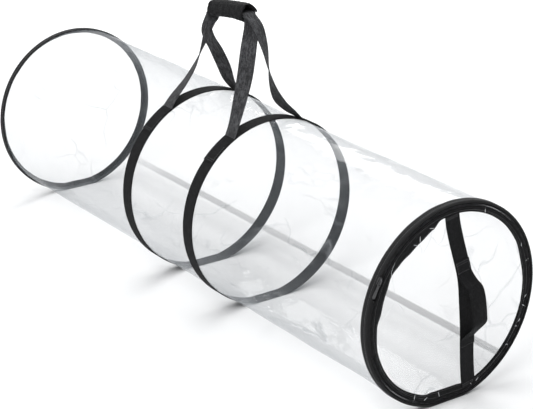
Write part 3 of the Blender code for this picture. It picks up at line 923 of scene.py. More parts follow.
@dataclass
class ZipTrack:
    """Both halves of the zip, its stops, its slider and its pull."""

    finishes: Finishes
    gap: float = 0.0003
    coil_height: float = 0.0014
    coil_width: float = 0.0016
    end_angle: float = radians(162.0)
    slider_angle: float = radians(152.0)

    def build(self) -> None:
        """Build the tapes, the coils, the stops and the slider."""
        inner = SHAPE.split_radius + self.gap / 2
        outer = SHAPE.split_radius - self.gap / 2
        for side, body, edge, sign in (("case", Body.CASE, inner, 1.0), ("lid", Body.LID, outer, -1.0)):
            low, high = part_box("zip_tape_" + side)
            far = 0.14825 if side == "case" else outer - 0.0100
            section = [(low[0], edge), (low[0], far), (high[0], far), (high[0], edge + sign * 0.0032),
                       (high[0] + 0.00018, edge + sign * 0.0028), (high[0] + 0.00018, edge + sign * 0.0020),
                       (high[0], edge + sign * 0.0017), (high[0], edge)]
            tape = turned("zip_%s_tape" % side, section, self.finishes.fabric)
            finish_piece(tape, body, Slot.FABRIC, "zip_tape_" + side)
            low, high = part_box("zip_coil_" + side)
            wire = 0.27 * MM
            coil = coil_piece("zip_%s_coil" % side, edge + sign * self.coil_width / 2,
                              self.coil_width / 2 - wire, (low[0] + high[0]) / 2,
                              self.coil_height / 2 - wire, self.finishes.nylon,
                               -self.end_angle, self.end_angle)
            finish_piece(coil, body, Slot.NYLON, "zip_coil_" + side)
        self.build_stops()
        self.build_slider()

    def build_stops(self) -> None:
        """Build the two stops at the ends of the coil."""
        for which, sign in (("upper", 1.0), ("lower", -1.0)):
            low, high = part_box("zip_stop_" + which)
            centre = [(low[i] + high[i]) / 2 for i in range(3)]
            stop = block("zip_%s_stop" % which, (0.0016, 0.0010, high[0] - low[0]), 0.0004,
                         self.finishes.nylon)
            angle = sign * (self.end_angle + radians(1.2))
            stop.data.transform(self.turn(angle))
            stop.data.transform(Matrix.Translation(Vector(centre)))
            finish_piece(stop, Body.CASE, Slot.NYLON, "zip_stop_" + which)

    def turn(self, angle: float) -> Matrix:
        """Return the rotation that takes X to outward, Y to along the zip and Z to +X."""
        radial = Vector((0.0, cos(angle), sin(angle)))
        along = Vector((0.0, -sin(angle), cos(angle)))
        return Matrix((radial, along, OUT)).transposed().to_4x4()

    def build_slider(self) -> None:
        """Build the slider with its bridge, and the pull that hangs in it."""
        base_x = SHAPE.front_x + 0.0005
        centre_r = SHAPE.split_radius + 0.0012 + 0.0030
        place = Matrix.Translation(Vector(SHAPE.at(base_x, centre_r, self.slider_angle)))
        turn = place @ self.turn(self.slider_angle)
        outline = [(-0.0030, -0.0030), (-0.0026, -0.0052), (-0.0012, -0.0055), (0.0012, -0.0055),
                   (0.0026, -0.0052), (0.0030, -0.0030), (0.0029, 0.0020), (0.0022, 0.0045),
                   (0.0008, 0.0055), (-0.0008, 0.0055), (-0.0022, 0.0045), (-0.0029, 0.0020)]
        plate = plate_piece("slider_plate", outline, 0.0012, 0.0003, self.finishes.enamel)
        arch = []
        for k in range(17):
            t = pi * k / 16
            arch.append(Vector((0.0, -0.0040 * cos(t), 0.0009 + 0.0036 * sin(t) ** 0.55)))
        bar = bar_piece("slider_bridge", arch, 0.0010, 0.0005, self.finishes.enamel)
        for obj in (plate, bar):
            obj.data.transform(turn)
        finish_piece(plate, Body.SLIDER, Slot.METAL, "zip_slider")
        finish_piece(bar, Body.SLIDER, Slot.METAL)
        pin = turn @ Vector((0.0, 0.0, 0.0030))
        pull = pull_piece("slider_pull", self.finishes.enamel)
        pull.data.transform(Matrix.Translation(pin) @ self.turn(self.slider_angle))
        finish_piece(pull, Body.PULL, Slot.METAL, "zip_pull")


def bevelled(name: str, work: bmesh.types.BMesh, bevel: float,
             material: bpy.types.Material) -> bpy.types.Object:
    """Bevel the sharp edges of a block and make it a piece."""
    bmesh.ops.recalc_face_normals(work, faces=work.faces)
    edges = [e for e in work.edges if len(e.link_faces) == 2 and e.calc_face_angle() > radians(35.0)]
    bmesh.ops.bevel(work, geom=edges, offset=bevel, segments=3, profile=0.6, affect="EDGES",
                    clamp_overlap=True)
    mesh = bpy.data.meshes.new(name)
    work.to_mesh(mesh)
    work.free()
    mesh.shade_smooth()
    mesh.set_sharp_from_angle(angle=radians(50.0))
    return show(name, mesh, material)


def block(name: str, size: Point, bevel: float, material: bpy.types.Material) -> bpy.types.Object:
    """Make a bevelled block about the origin."""
    work = bmesh.new()
    bmesh.ops.create_cube(work, size=1.0)
    bmesh.ops.scale(work, vec=Vector(size), verts=work.verts)
    return bevelled(name, work, bevel, material)


def plate_piece(name: str, outline: Profile, height: float, bevel: float,
                material: bpy.types.Material) -> bpy.types.Object:
    """Make a bevelled plate that stands on its outline."""
    work = bmesh.new()
    low = [work.verts.new((x, y, 0.0)) for x, y in outline]
    high = [work.verts.new((x, y, height)) for x, y in outline]
    work.faces.new(low[::-1])
    work.faces.new(high)
    for i in range(len(outline)):
        k = (i + 1) % len(outline)
        work.faces.new((low[i], low[k], high[k], high[i]))
    return bevelled(name, work, bevel, material)


def bar_piece(name: str, path: Sequence[Vector], half_width: float, half_thick: float,
              material: bpy.types.Material) -> bpy.types.Object:
    """Sweep a rounded flat bar along a path in the plane across X."""
    section = rounded_section(half_width, half_thick, half_thick * 0.8)
    verts = []
    for i, point in enumerate(path):
        tangent = (path[min(i + 1, len(path) - 1)] - path[max(i - 1, 0)]).normalized()
        up = OUT.cross(tangent)
        verts += [point + Vector((s, 0.0, 0.0)) + up * h for s, h in section]
    faces = grid_faces(len(path), len(section), closed_columns=True, capped=True)
    return mesh_piece(name, verts, faces, material)


def pull_piece(name: str, material: bpy.types.Material) -> bpy.types.Object:
    """Make the zip pull: a tapered tongue with an eye at its root, along +Y from its pin.

    Args:
        name: The piece's name.
        material: The enamel.

    Returns:
        The piece.
    """
    right = smooth_path([(0.0, -0.0005), (0.0016, -0.0004), (0.0024, 0.0008), (0.0025, 0.0040),
                         (0.0019, 0.0072),
                         (0.0018, 0.0110), (0.0022, 0.0180), (0.0023, 0.0215), (0.0016, 0.0235),
                         (0.0, 0.0240)], 5)
    outer = right + [(-x, y) for x, y in reversed(right[1:-1])]
    eye = (0.0, 0.0031)
    inner = []
    for x, y in outer:
        a = atan2(y - eye[1], x - eye[0])
        reach = 1.0 / (abs(cos(a) / 0.0014) ** 3 + abs(sin(a) / 0.0026) ** 3) ** (1 / 3)
        inner.append((eye[0] + reach * cos(a), eye[1] + reach * sin(a)))
    work = bmesh.new()
    loops = [[work.verts.new((x, y, z)) for x, y in line] for line, z in
             ((outer, -0.0006), (outer, 0.0006), (inner, 0.0006), (inner, -0.0006))]
    for a, b in zip(loops, loops[1:] + loops[:1]):
        for i in range(len(outer)):
            k = (i + 1) % len(outer)
            work.faces.new((a[i], a[k], b[k], b[i]))
    return bevelled(name, work, 0.00025, material)


@dataclass
class GirthStraps:
    """The straps round the case, and the handle ends sewn on them."""

    finishes: Finishes
    thickness: float = 0.0012
    sewn_front: float = radians(137.0)
    sewn_back: float = radians(47.0)

    def build(self) -> None:
        """Build both straps, the four sewn ends and the stitches."""
        for letter, side in (("a", -1.0), ("b", 1.0)):
            middle = SHAPE.mid_x + side * SHAPE.strap_spacing / 2
            self.build_girth(letter, middle)
            self.build_tail("front", letter, middle, SHAPE.lift_front, self.sewn_front)
            self.build_tail("back", letter, middle, self.sewn_back, SHAPE.lift_back)

    def flat_section(self, middle: float, low: float, high: float) -> Profile:
        """Return a webbing's section between two radii, with round selvedges."""
        half, t = SHAPE.strap_width / 2, (high - low)
        top = [(middle - half + t / 2 + (2 * half - t) * k / 10, high) for k in range(11)]
        right = [(middle + half, high - t * 0.3), (middle + half, low + t * 0.3)]
        bottom = [(x, low) for x, _ in reversed(top)]
        left = [(middle - half, low + t * 0.3), (middle - half, high - t * 0.3)]
        return top + right + bottom + left

    def build_girth(self, letter: str, middle: float) -> None:
        """Build one strap round the case."""
        seed = 3.0 if letter == "a" else 9.0

        def warp(x: float, r: float, a: float) -> tuple[float, float]:
            """Let the strap wander and lift a little between its seams."""
            lift = 0.0002 * (0.5 + 0.5 * wobble(a, seed + x * 40.0, 6.0)) if sin(a) > -0.9 else 0.0
            return (x + 0.0005 * wobble(a, seed, 2.0), r - lift * 0.5)

        section = self.flat_section(middle, SHAPE.radius - self.thickness, SHAPE.radius)
        strap = turned("webbing_girth_" + letter, section, self.finishes.webbing, warp=warp)
        finish_piece(strap, Body.CASE, Slot.WEBBING, "girth_strap_" + letter)

    def build_tail(self, which: str, letter: str, middle: float, start: float, end: float) -> None:
        """Build one sewn end of a carry handle and its box of stitches."""
        low = SHAPE.radius + 0.0003
        high = low + self.thickness
        section = self.flat_section(middle, low, high)
        tail = turned("webbing_%s_end_%s" % (which, letter), section, self.finishes.webbing, 360, start, end)
        finish_piece(tail, Body.CASE, Slot.WEBBING, "handle_tail_%s_%s" % (which, letter))
        free = end if which == "front" else start
        inward = -1.0 if which == "front" else 1.0
        half = SHAPE.strap_width / 2 - 0.0024
        runs = []
        for offset in (0.9, 2.0):
            a = free + inward * radians(offset)
            points = [Vector(SHAPE.at(middle - half + 2 * half * k / 12, high + 0.00012, a))
                      for k in range(13)]
            runs.append((points, [Vector((0.0, cos(a), sin(a)))] * 13))
        for s in (-1.0, 1.0):
            first, last = sorted((free + inward * radians(0.9), free + inward * radians(11.0)))
            runs.append(circle_run(middle + s * half, high + 0.00012, True, 60, first, last))
        stitches("stitches_%s_end_%s" % (which, letter), Body.CASE, runs, self.finishes.thread)


@dataclass
class Lid:
    """The round lid: border, window, strap, handle loop and fabric hinge."""

    finishes: Finishes
    tilt: float = radians(9.2)
    strap_offset: float = 0.0138
    strap_half: float = 0.1344
    strap_width: float = 0.025
    thickness: float = 0.0012
    window_radius: float = 0.1385
    arch: float = 0.0137
    arch_shares: Profile = (
        (-1.0, 0.0), (-0.86, 0.02), (-0.70, 0.13), (-0.49, 0.37), (-0.28, 0.62), (-0.07, 0.80),
        (0.10, 0.92), (0.24, 1.0), (0.38, 0.95), (0.54, 0.66), (0.72, 0.30), (0.88, 0.04), (1.0, 0.0))
    handle_top: float = 0.069
    handle_bottom: float = -0.062
    handle_flat: float = 0.017
    sag_share: float = 0.49
    fall_shares: Profile = ((0.23, 0.59), (0.37, 0.87), (0.62, 0.97))
    return_shares: Profile = (
        (0.17, 0.99), (0.34, 0.96), (0.49, 0.78), (0.73, 0.40), (0.89, 0.17))
    creases: tuple[Profile, ...] = (
        ((-0.1033, 0.0901), (-0.1085, 0.080), (-0.1095, 0.073), (-0.1040, 0.050), (-0.0997, 0.0343)),
        ((-0.0997, 0.0343), (-0.1120, 0.0215), (-0.1244, 0.0089)),
        ((-0.0997, 0.0343), (-0.0915, 0.0220), (-0.0852, 0.0129)),
        ((0.0890, 0.0790), (0.0980, 0.0660), (0.1010, 0.0560)),
        ((0.1080, -0.0500), (0.1010, -0.0610), (0.0960, -0.0690)),
        ((-0.0420, -0.1160), (-0.0300, -0.1130), (-0.0210, -0.1180)),
        ((-0.0700, 0.1020), (-0.0560, 0.1090), (-0.0500, 0.1060)),
    )
    heights: tuple[float, ...] = (1.15, 1.25, 0.9, 0.7, 0.8, 0.7, 0.8)
    edge_radii: Profile = (
        (0.0, 129.8), (16.0, 128.6), (32.0, 131.4), (52.0, 132.8), (72.0, 134.2), (90.0, 134.4),
        (101.0, 133.6),
        (108.0, 126.2), (118.0, 122.6), (128.0, 122.4), (138.0, 126.0), (147.0, 129.4), (156.0, 126.4),
        (170.0, 126.0), (180.0, 130.8), (197.0, 133.4), (221.0, 133.6), (249.0, 132.0), (258.0, 127.2),
        (275.0, 127.6), (293.0, 132.6), (320.0, 134.4), (338.0, 133.2), (352.0, 130.2), (360.0, 129.8))
    glints: tuple[tuple[float, float, float, float], ...] = (
        (109.0, 130.5, 8.0, 60.0), (119.0, 128.0, 10.0, -30.0), (123.5, 127.0, 7.0, 40.0),
        (68.0, 138.0, 8.0, 25.0),
        (26.0, 136.5, 6.0, 70.0), (14.0, 139.5, 7.0, 10.0), (351.0, 138.0, 6.0, 55.0),
        (345.0, 138.5, 8.0, -20.0),
        (336.0, 139.0, 7.0, 75.0), (332.0, 137.5, 5.0, 10.0), (320.0, 138.0, 7.0, 30.0),
        (292.0, 137.5, 7.0, -65.0),
        (287.0, 137.0, 5.0, 20.0), (243.0, 138.0, 9.0, 15.0), (252.0, 137.5, 8.0, -40.0),
        (262.0, 133.0, 9.0, 25.0))

    def build(self) -> None:
        """Build every piece of the lid."""
        self.build_window()
        self.build_border()
        self.build_painted_glints()
        self.build_hinge()
        self.build_strap()
        self.build_handle()

    def inner_edge(self, a: float) -> float:
        """Return the border's inner radius, which wanders round the lid."""
        turn = degrees(a) % 360.0
        table = self.edge_radii
        for (low, r0), (high, r1) in zip(table, table[1:]):
            if turn <= high:
                return (r0 + (r1 - r0) * smooth_step((turn - low) / (high - low))) * MM
        return table[0][1] * MM

    def bulge(self, r: float, a: float) -> float:
        """Return the window's shift outward, with puckers at its edge and sharp creases."""
        y, z = r * cos(a), r * sin(a)
        free = smooth_step((0.1235 - r) / 0.012)
        edge = smooth_step(1 - abs(r - 0.116) / 0.022)
        pucker = 0.5 + 0.5 * ripple(cos(a) * 11.0, sin(a) * 11.0, 2.0)
        soft = 0.5 + 0.5 * ripple(y * 16.0, z * 16.0, 9.0)
        out = 0.00035 * pucker * edge * free + 0.00035 * soft * free
        for line, height in zip(self.creases, self.heights):
            out = max(out, height * MM * free * ridge(line, y, z))
        return out

    def build_window(self) -> None:
        """Build the lid's clear sheet."""
        low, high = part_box("lid_window")
        window = disc_piece("lid_sheet", low[0], high[0], self.window_radius, self.bulge,
                            self.finishes.sheet, 480, 120)
        finish_piece(window, Body.LID, Slot.VINYL, "lid_window")

    def build_border(self) -> None:
        """Build the fabric border, its bead and its stitches."""
        low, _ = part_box("lid_border")
        base, outer = low[0], SHAPE.split_radius - 0.00015 - 0.0016 - 0.0003
        section = [(base, outer), (base, 0.1285), (base + 0.0003, 0.1278), (base + 0.0007, 0.1280),
                   (base + 0.0009, 0.1290), (base + 0.0008, 0.1300), (base + 0.0010, 0.1315),
                   (base + 0.0010, 0.1360), (base + 0.0008, 0.1375), (base + 0.0011, 0.1388)]
        for k in range(7):
            turn = radians(160.0 - 160.0 * k / 6)
            section.append((base + 0.0010 + 0.0010 * sin(turn), outer - 0.0011 + 0.0010 * cos(turn)))

        def warp(x: float, r: float, a: float) -> tuple[float, float]:
            """Give the inner edge its wander and its puckers."""
            share = smooth_step((0.1345 - r) / 0.0055)
            ruffle = 0.00018 * share * wobble(a, 7.0, 22.0)
            if r < 0.1375:
                r = 0.1375 - (0.1375 - r) * (0.1375 - self.inner_edge(a)) / (0.1375 - 0.1278)
            return (x + max(ruffle, -0.0001) + 0.0001 * share, r)

        ring = turned("lid_fabric_border", section, self.finishes.fabric, 360, warp=warp)
        finish_piece(ring, Body.LID, Slot.FABRIC, "lid_border")
        angles = [2 * pi * i / 720 for i in range(721)]
        inner = [Vector(SHAPE.at(base + 0.00105, self.inner_edge(a) + 0.0022, a)) for a in angles]
        outer_line = [Vector(SHAPE.at(base + 0.00105, 0.1370, a)) for a in angles]
        ups = [OUT] * 721
        stitches("lid_border_stitches", Body.LID, [(inner, ups), (outer_line, ups)], self.finishes.thread,
                 3.0 * MM, 2.2 * MM, 0.45 * MM)

    def build_painted_glints(self) -> None:
        """Build the painted glints of the lid's sheet: whitish folds on its creases and over its border,
        painted bright for the light that glints on them.
        """
        low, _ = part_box("lid_border")
        work = bmesh.new()
        # Painted glints: whitish folds lying over the border's inner edge.
        for turn, r, length, lean in self.glints:
            middle = Vector(SHAPE.at(low[0] + 0.0016, r * MM, radians(turn)))
            way = radians(turn + lean)
            half = Vector((0.0, cos(way), sin(way))) * length * MM / 2
            fold(work, [middle - half, middle, middle + half], 0.9 * MM)
        # Painted glints: whitish folds along the window's creases.
        for line, height in zip(self.creases, self.heights):
            rise = low[0] + (height + 0.35) * MM
            fold(work, [Vector((rise, y, SHAPE.axis_z + z)) for y, z in line], 0.55 * MM * height)
        mesh = bpy.data.meshes.new("lid_sheet_painted_glints")
        work.to_mesh(mesh)
        work.free()
        finish_piece(show("lid_sheet_painted_glints", mesh, self.finishes.painted_glints), Body.LID, Slot.VINYL)

    def build_hinge(self) -> None:
        """Build the cloth that joins the lid to the case."""
        low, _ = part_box("lid_hinge_web")
        x = low[0] - 0.00015
        section = [(x, 0.1412), (x + 0.0008, 0.1412), (x + 0.0009, 0.1425), (x + 0.0009, 0.1445),
                   (x + 0.0008, 0.1460), (x, 0.1460)]
        web = turned("hinge_cloth", section, self.finishes.tape, 720, radians(163.0), radians(197.0))
        bend_piece(web, (Body.CASE, Body.LID),
                   "lid_hinge_web")

    def place(self, x: float, along: float, across: float = 0.0) -> Vector:
        """Return a point on the lid strap's line."""
        side = self.strap_offset + across
        return Vector((x, side * cos(self.tilt) - along * sin(self.tilt),
                       SHAPE.axis_z + side * sin(self.tilt) + along * cos(self.tilt)))

    def strap_line(self) -> Profile:
        """Return (height along the strap, x) points of the strap's arch."""
        low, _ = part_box("lid_strap")
        base = low[0] + self.thickness / 2
        points = [(along * self.strap_half, base + self.arch * rise) for along, rise in self.arch_shares]
        return [(along, max(x, base)) for along, x in smooth_path(points, 8)]

    def seat(self, along: float) -> float:
        """Return the x of the strap's middle at a height along it."""
        line = self.strap_line()
        for (low, low_x), (high, high_x) in zip(line, line[1:]):
            if low <= along <= high:
                return low_x + (high_x - low_x) * (along - low) / (high - low)
        return line[-1][1]

    def build_strap(self) -> None:
        """Build the strap across the lid."""
        across = (0.0, cos(self.tilt), sin(self.tilt))
        stations = []
        for s, x in self.strap_line():
            side = 0.0005 * ripple(s * 14.0, 0.0, 6.0)
            width = self.strap_width + 0.0003 * ripple(s * 25.0, 3.0, 1.0)
            stations.append((*self.place(x, s, side), *across, width))
        piece = Strap(stations, self.thickness).build("lid_webbing", self.finishes.webbing)
        finish_piece(piece, Body.LID, Slot.WEBBING, "lid_strap")
        rows = (-0.1325, -0.1300, 0.1300, 0.1325)
        runs = [self.across_run(self.seat(s) + self.thickness / 2 + 0.0002, s) for s in rows]
        stitches("lid_webbing_stitches", Body.LID, runs, self.finishes.thread)

    def across_run(self, x: float, s: float, inset: float = 0.0024) -> Run:
        """Return a stitch line across the strap."""
        half = self.strap_width / 2 - inset
        return [self.place(x, s, half * (k - 6) / 6) for k in range(13)], [OUT] * 13

    def along_runs(self, lift: float, first: float, last: float) -> list[Run]:
        """Return the two stitch lines along the strap's edges between two heights."""
        half = self.strap_width / 2 - 0.0024
        heights = [first + (last - first) * k / 10 for k in range(11)]
        ups = [OUT] * 11
        return [([self.place(self.seat(s) + lift, s, side * half) for s in heights], ups)
                for side in (-1.0, 1.0)]

    def handle_line(self) -> Profile:
        """Return (height along the strap, x) points down the handle loop."""
        lift = self.thickness + 0.0003
        low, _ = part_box("lid_strap")
        flat_x = low[0] + self.thickness / 2 + lift
        out_x = SHAPE.reach_x - self.thickness / 2
        leave = self.handle_top - self.handle_flat
        sag = self.handle_bottom + (self.handle_top - self.handle_bottom) * self.sag_share
        end = self.handle_bottom - self.handle_flat / 3
        profile = [(self.handle_top, self.seat(self.handle_top) + lift), (leave, self.seat(leave) + lift)]
        for down, out in self.fall_shares:
            profile.append((leave + (sag - leave) * down, flat_x + (out_x - flat_x) * out))
        profile.append((sag, out_x))
        for down, out in self.return_shares:
            profile.append((sag + (self.handle_bottom - sag) * down, flat_x + (out_x - flat_x) * out))
        profile += [(s, self.seat(s) + lift) for s in (self.handle_bottom, end)]
        return [(s, min(max(x, self.seat(s) + lift), out_x)) for s, x in smooth_path(profile, 12)]

    def build_handle(self) -> None:
        """Build the handle loop and the stitches at its ends."""
        line = self.handle_line()
        across = Vector((0.0, cos(self.tilt), sin(self.tilt)))
        stations = []
        for s, x in line:
            out = min(max((x - self.seat(s)) / 0.030 - 0.05, 0.0), 1.0)
            twist = 0.10 * out * ripple(s * 18.0, 1.0, 0.0)
            stations.append((*self.place(x, s), *(across + Vector((twist, 0.0, 0.0))), self.strap_width))
        strap = Strap(stations, self.thickness)
        piece = strap.build("lid_handle_loop", self.finishes.webbing)
        finish_piece(piece, Body.LID, Slot.WEBBING, "lid_handle")
        lift = 1.5 * self.thickness + 0.0004
        leave = self.handle_top - self.handle_flat
        rows = (self.handle_top - 0.0018, self.handle_top - 0.0045, leave + 0.0015, line[-1][0] + 0.0015)
        runs = [self.across_run(self.seat(s) + lift, s) for s in rows]
        runs += self.along_runs(lift, leave + 0.0015, self.handle_top - 0.0018)
        stitches("lid_handle_stitches", Body.LID, runs, self.finishes.thread)


def fold(work: bmesh.types.BMesh, line: Sequence[Vector], width: float) -> None:
    """Add a thin lens-shaped fold along a line, tapered at both ends.

    Args:
        work: The mesh that takes the fold.
        line: Points along the fold's middle.
        width: The fold's greatest width.
    """
    points = [Vector(p) for p in smooth_path([tuple(p) for p in line], 5)]
    rings = []
    for i, point in enumerate(points):
        ahead = points[min(i + 1, len(points) - 1)] - points[max(i - 1, 0)]
        side = OUT.cross(ahead).normalized()
        share = i / (len(points) - 1)
        half = width * (0.08 + 0.92 * sin(pi * share) ** 0.8) * (0.8 + 0.35 * noise.noise(point * 90.0)) / 2
        lift = Vector((half * 0.8, 0.0, 0.0))
        rings.append([work.verts.new(point + way) for way in (side * half, lift, -side * half, -lift * 0.3)])
    for low, high in zip(rings, rings[1:]):
        for k in range(4):
            work.faces.new((low[k], low[(k + 1) % 4], high[(k + 1) % 4], high[k]))
    work.faces.new(rings[0][::-1])
    work.faces.new(rings[-1])
    bmesh.ops.recalc_face_normals(work, faces=work.faces)


def ridge(line: Profile, y: float, z: float, width: float = 1.3 * MM) -> float:
    """Return a sharp ridge's height share at a point, 1 on the line and 0 away from it."""
    nearest = 1.0
    for (y0, z0), (y1, z1) in zip(line, line[1:]):
        dy, dz = y1 - y0, z1 - z0
        t = min(max(((y - y0) * dy + (z - z0) * dz) / (dy * dy + dz * dz), 0.0), 1.0)
        nearest = min(nearest, sqrt((y - y0 - t * dy) ** 2 + (z - z0 - t * dz) ** 2))
    return exp(-nearest / width)


@dataclass(frozen=True)
class GripFrame:
    """The grip's own frame: its axis rises towards +X, and its wrap is slightly arched."""

    length: float = 0.094
    y: float = -0.008
    z: float = 0.4455
    tilt: float = radians(8.0)
    arch: float = 0.0010

    def at(self, along: float, across: float, up: float) -> Vector:
        """Return a point along the grip's axis, across it and up from it."""
        half = self.length / 2
        up += self.arch * (max(1 - (along / half) ** 2, 0.0) - 0.35)
        return Vector((SHAPE.mid_x + along * cos(self.tilt) - up * sin(self.tilt), self.y + across,
                       self.z + along * sin(self.tilt) + up * cos(self.tilt)))


GRIP = GripFrame()


@dataclass
class CarryHandles:
    """The two carry handles, each one length of webbing from case to grip and back."""

    finishes: Finishes
    leg_width: float = 0.025
    grip_width: float = 0.0209
    thickness: float = 0.0012
    web_half_spacing: float = 0.0020
    mouth_z: float = 0.4360
    mouth_steps: Profile = ((0.0035, 0.0035), (0.0, 0.0009), (-0.0056, 0.0), (-0.0180, 0.0), (-0.0330, 0.0))

    def leg(self, end: float, stack: float, lift: float, twist: float,
            shares: Sequence[Sequence[float]]) -> list[tuple[float, ...]]:
        """Return the stations up one leg, from the case into the grip.

        Args:
            end: -1 for the leg at -X and 1 for the other one.
            stack: The webbing's height off the grip's middle.
            lift: The angle where it leaves the case.
            twist: The way that the leg turns.
            shares: Across, in, up, turn and narrowing shares from case to grip.

        Returns:
            Stations as Strap takes them.
        """
        foot_x = SHAPE.mid_x + end * SHAPE.strap_spacing / 2
        base = Vector(SHAPE.at(foot_x, SHAPE.radius + SHAPE.tail_middle, lift))
        way = GRIP.at(end * GRIP.length / 2, 0.0, stack) - base
        out: list[tuple[float, ...]] = []
        for over, inward, up, turn_share, narrow in shares:
            place = base + Vector((way.x * inward, way.y * over, way.z * up))
            turn = twist * turn_share * pi / 2
            width = self.leg_width + (self.grip_width - self.leg_width) * narrow
            out.append((*place, cos(turn), sin(turn), 0.0, width))
        for beyond, drop in self.mouth_steps:
            place = GRIP.at(end * (GRIP.length / 2 + beyond), 0.0, stack - drop)
            out.append((*place, 0.0, twist, 0.0, self.grip_width))
        return out

    def build(self) -> None:
        """Build both handles, which run from the case to the grip."""
        front = (((0.00, 0.00, 0.00, 0.00, 0.0), (0.20, 0.00, 0.10, 0.12, 0.0), (0.50, 0.12, 0.25, 0.24, 0.0),
                  (0.74, 0.27, 0.42, 0.33, 0.0), (0.87, 0.47, 0.60, 0.54, 0.0), (0.93, 0.72, 0.78, 0.74, 0.1),
                  (0.965, 0.93, 0.90, 0.86, 0.5)),
                 ((0.00, 0.00, 0.00, 0.00, 0.0), (0.13, 0.00, 0.12, 0.04, 0.0), (0.32, 0.04, 0.33, 0.22, 0.0),
                  (0.50, 0.12, 0.53, 0.42, 0.0), (0.70, 0.34, 0.74, 0.58, 0.1),
                  (0.91, 0.64, 0.90, 0.80, 0.6)))
        back = (((0.00, 0.00, 0.00, 0.00, 0.0), (0.17, 0.00, 0.12, 0.20, 0.0), (0.34, 0.04, 0.29, 0.36, 0.0),
                 (0.57, 0.08, 0.48, 0.34, 0.0), (0.83, 0.17, 0.66, 0.22, 0.0), (0.99, 0.60, 0.84, -0.08, 0.5),
                 (1.00, 0.90, 0.92, 0.35, 0.8)),
                ((0.00, 0.00, 0.00, 0.00, 0.0), (0.24, 0.00, 0.08, -0.20, 0.0),
                 (0.50, 0.12, 0.19, -0.18, 0.0),
                 (0.66, 0.20, 0.34, 0.10, 0.0), (0.75, 0.27, 0.52, 0.40, 0.0), (0.84, 0.30, 0.70, 0.62, 0.1),
                 (0.95, 0.50, 0.89, 0.90, 0.6)))
        layers = (("front", -self.web_half_spacing, SHAPE.lift_front, -1.0, front),
                  ("back", self.web_half_spacing, SHAPE.lift_back, 1.0, back))
        for name, stack, lift, twist, (low, high) in layers:
            rising = self.leg(-1.0, stack, lift, twist, low)
            other = self.leg(1.0, stack, lift, -twist, high)
            falling = [(*s[:3], -s[3], -s[4], -s[5], s[6]) for s in reversed(other)]
            strap = Strap(smooth_path(rising + falling, 12), self.thickness)
            piece = strap.build("webbing_handle_" + name, self.finishes.handles)
            foot_z = SHAPE.at(0.0, SHAPE.radius + SHAPE.tail_middle, lift)[2]
            bend_piece(piece, (Body.CASE, Body.GRIP),
                       name + "_handle_web")


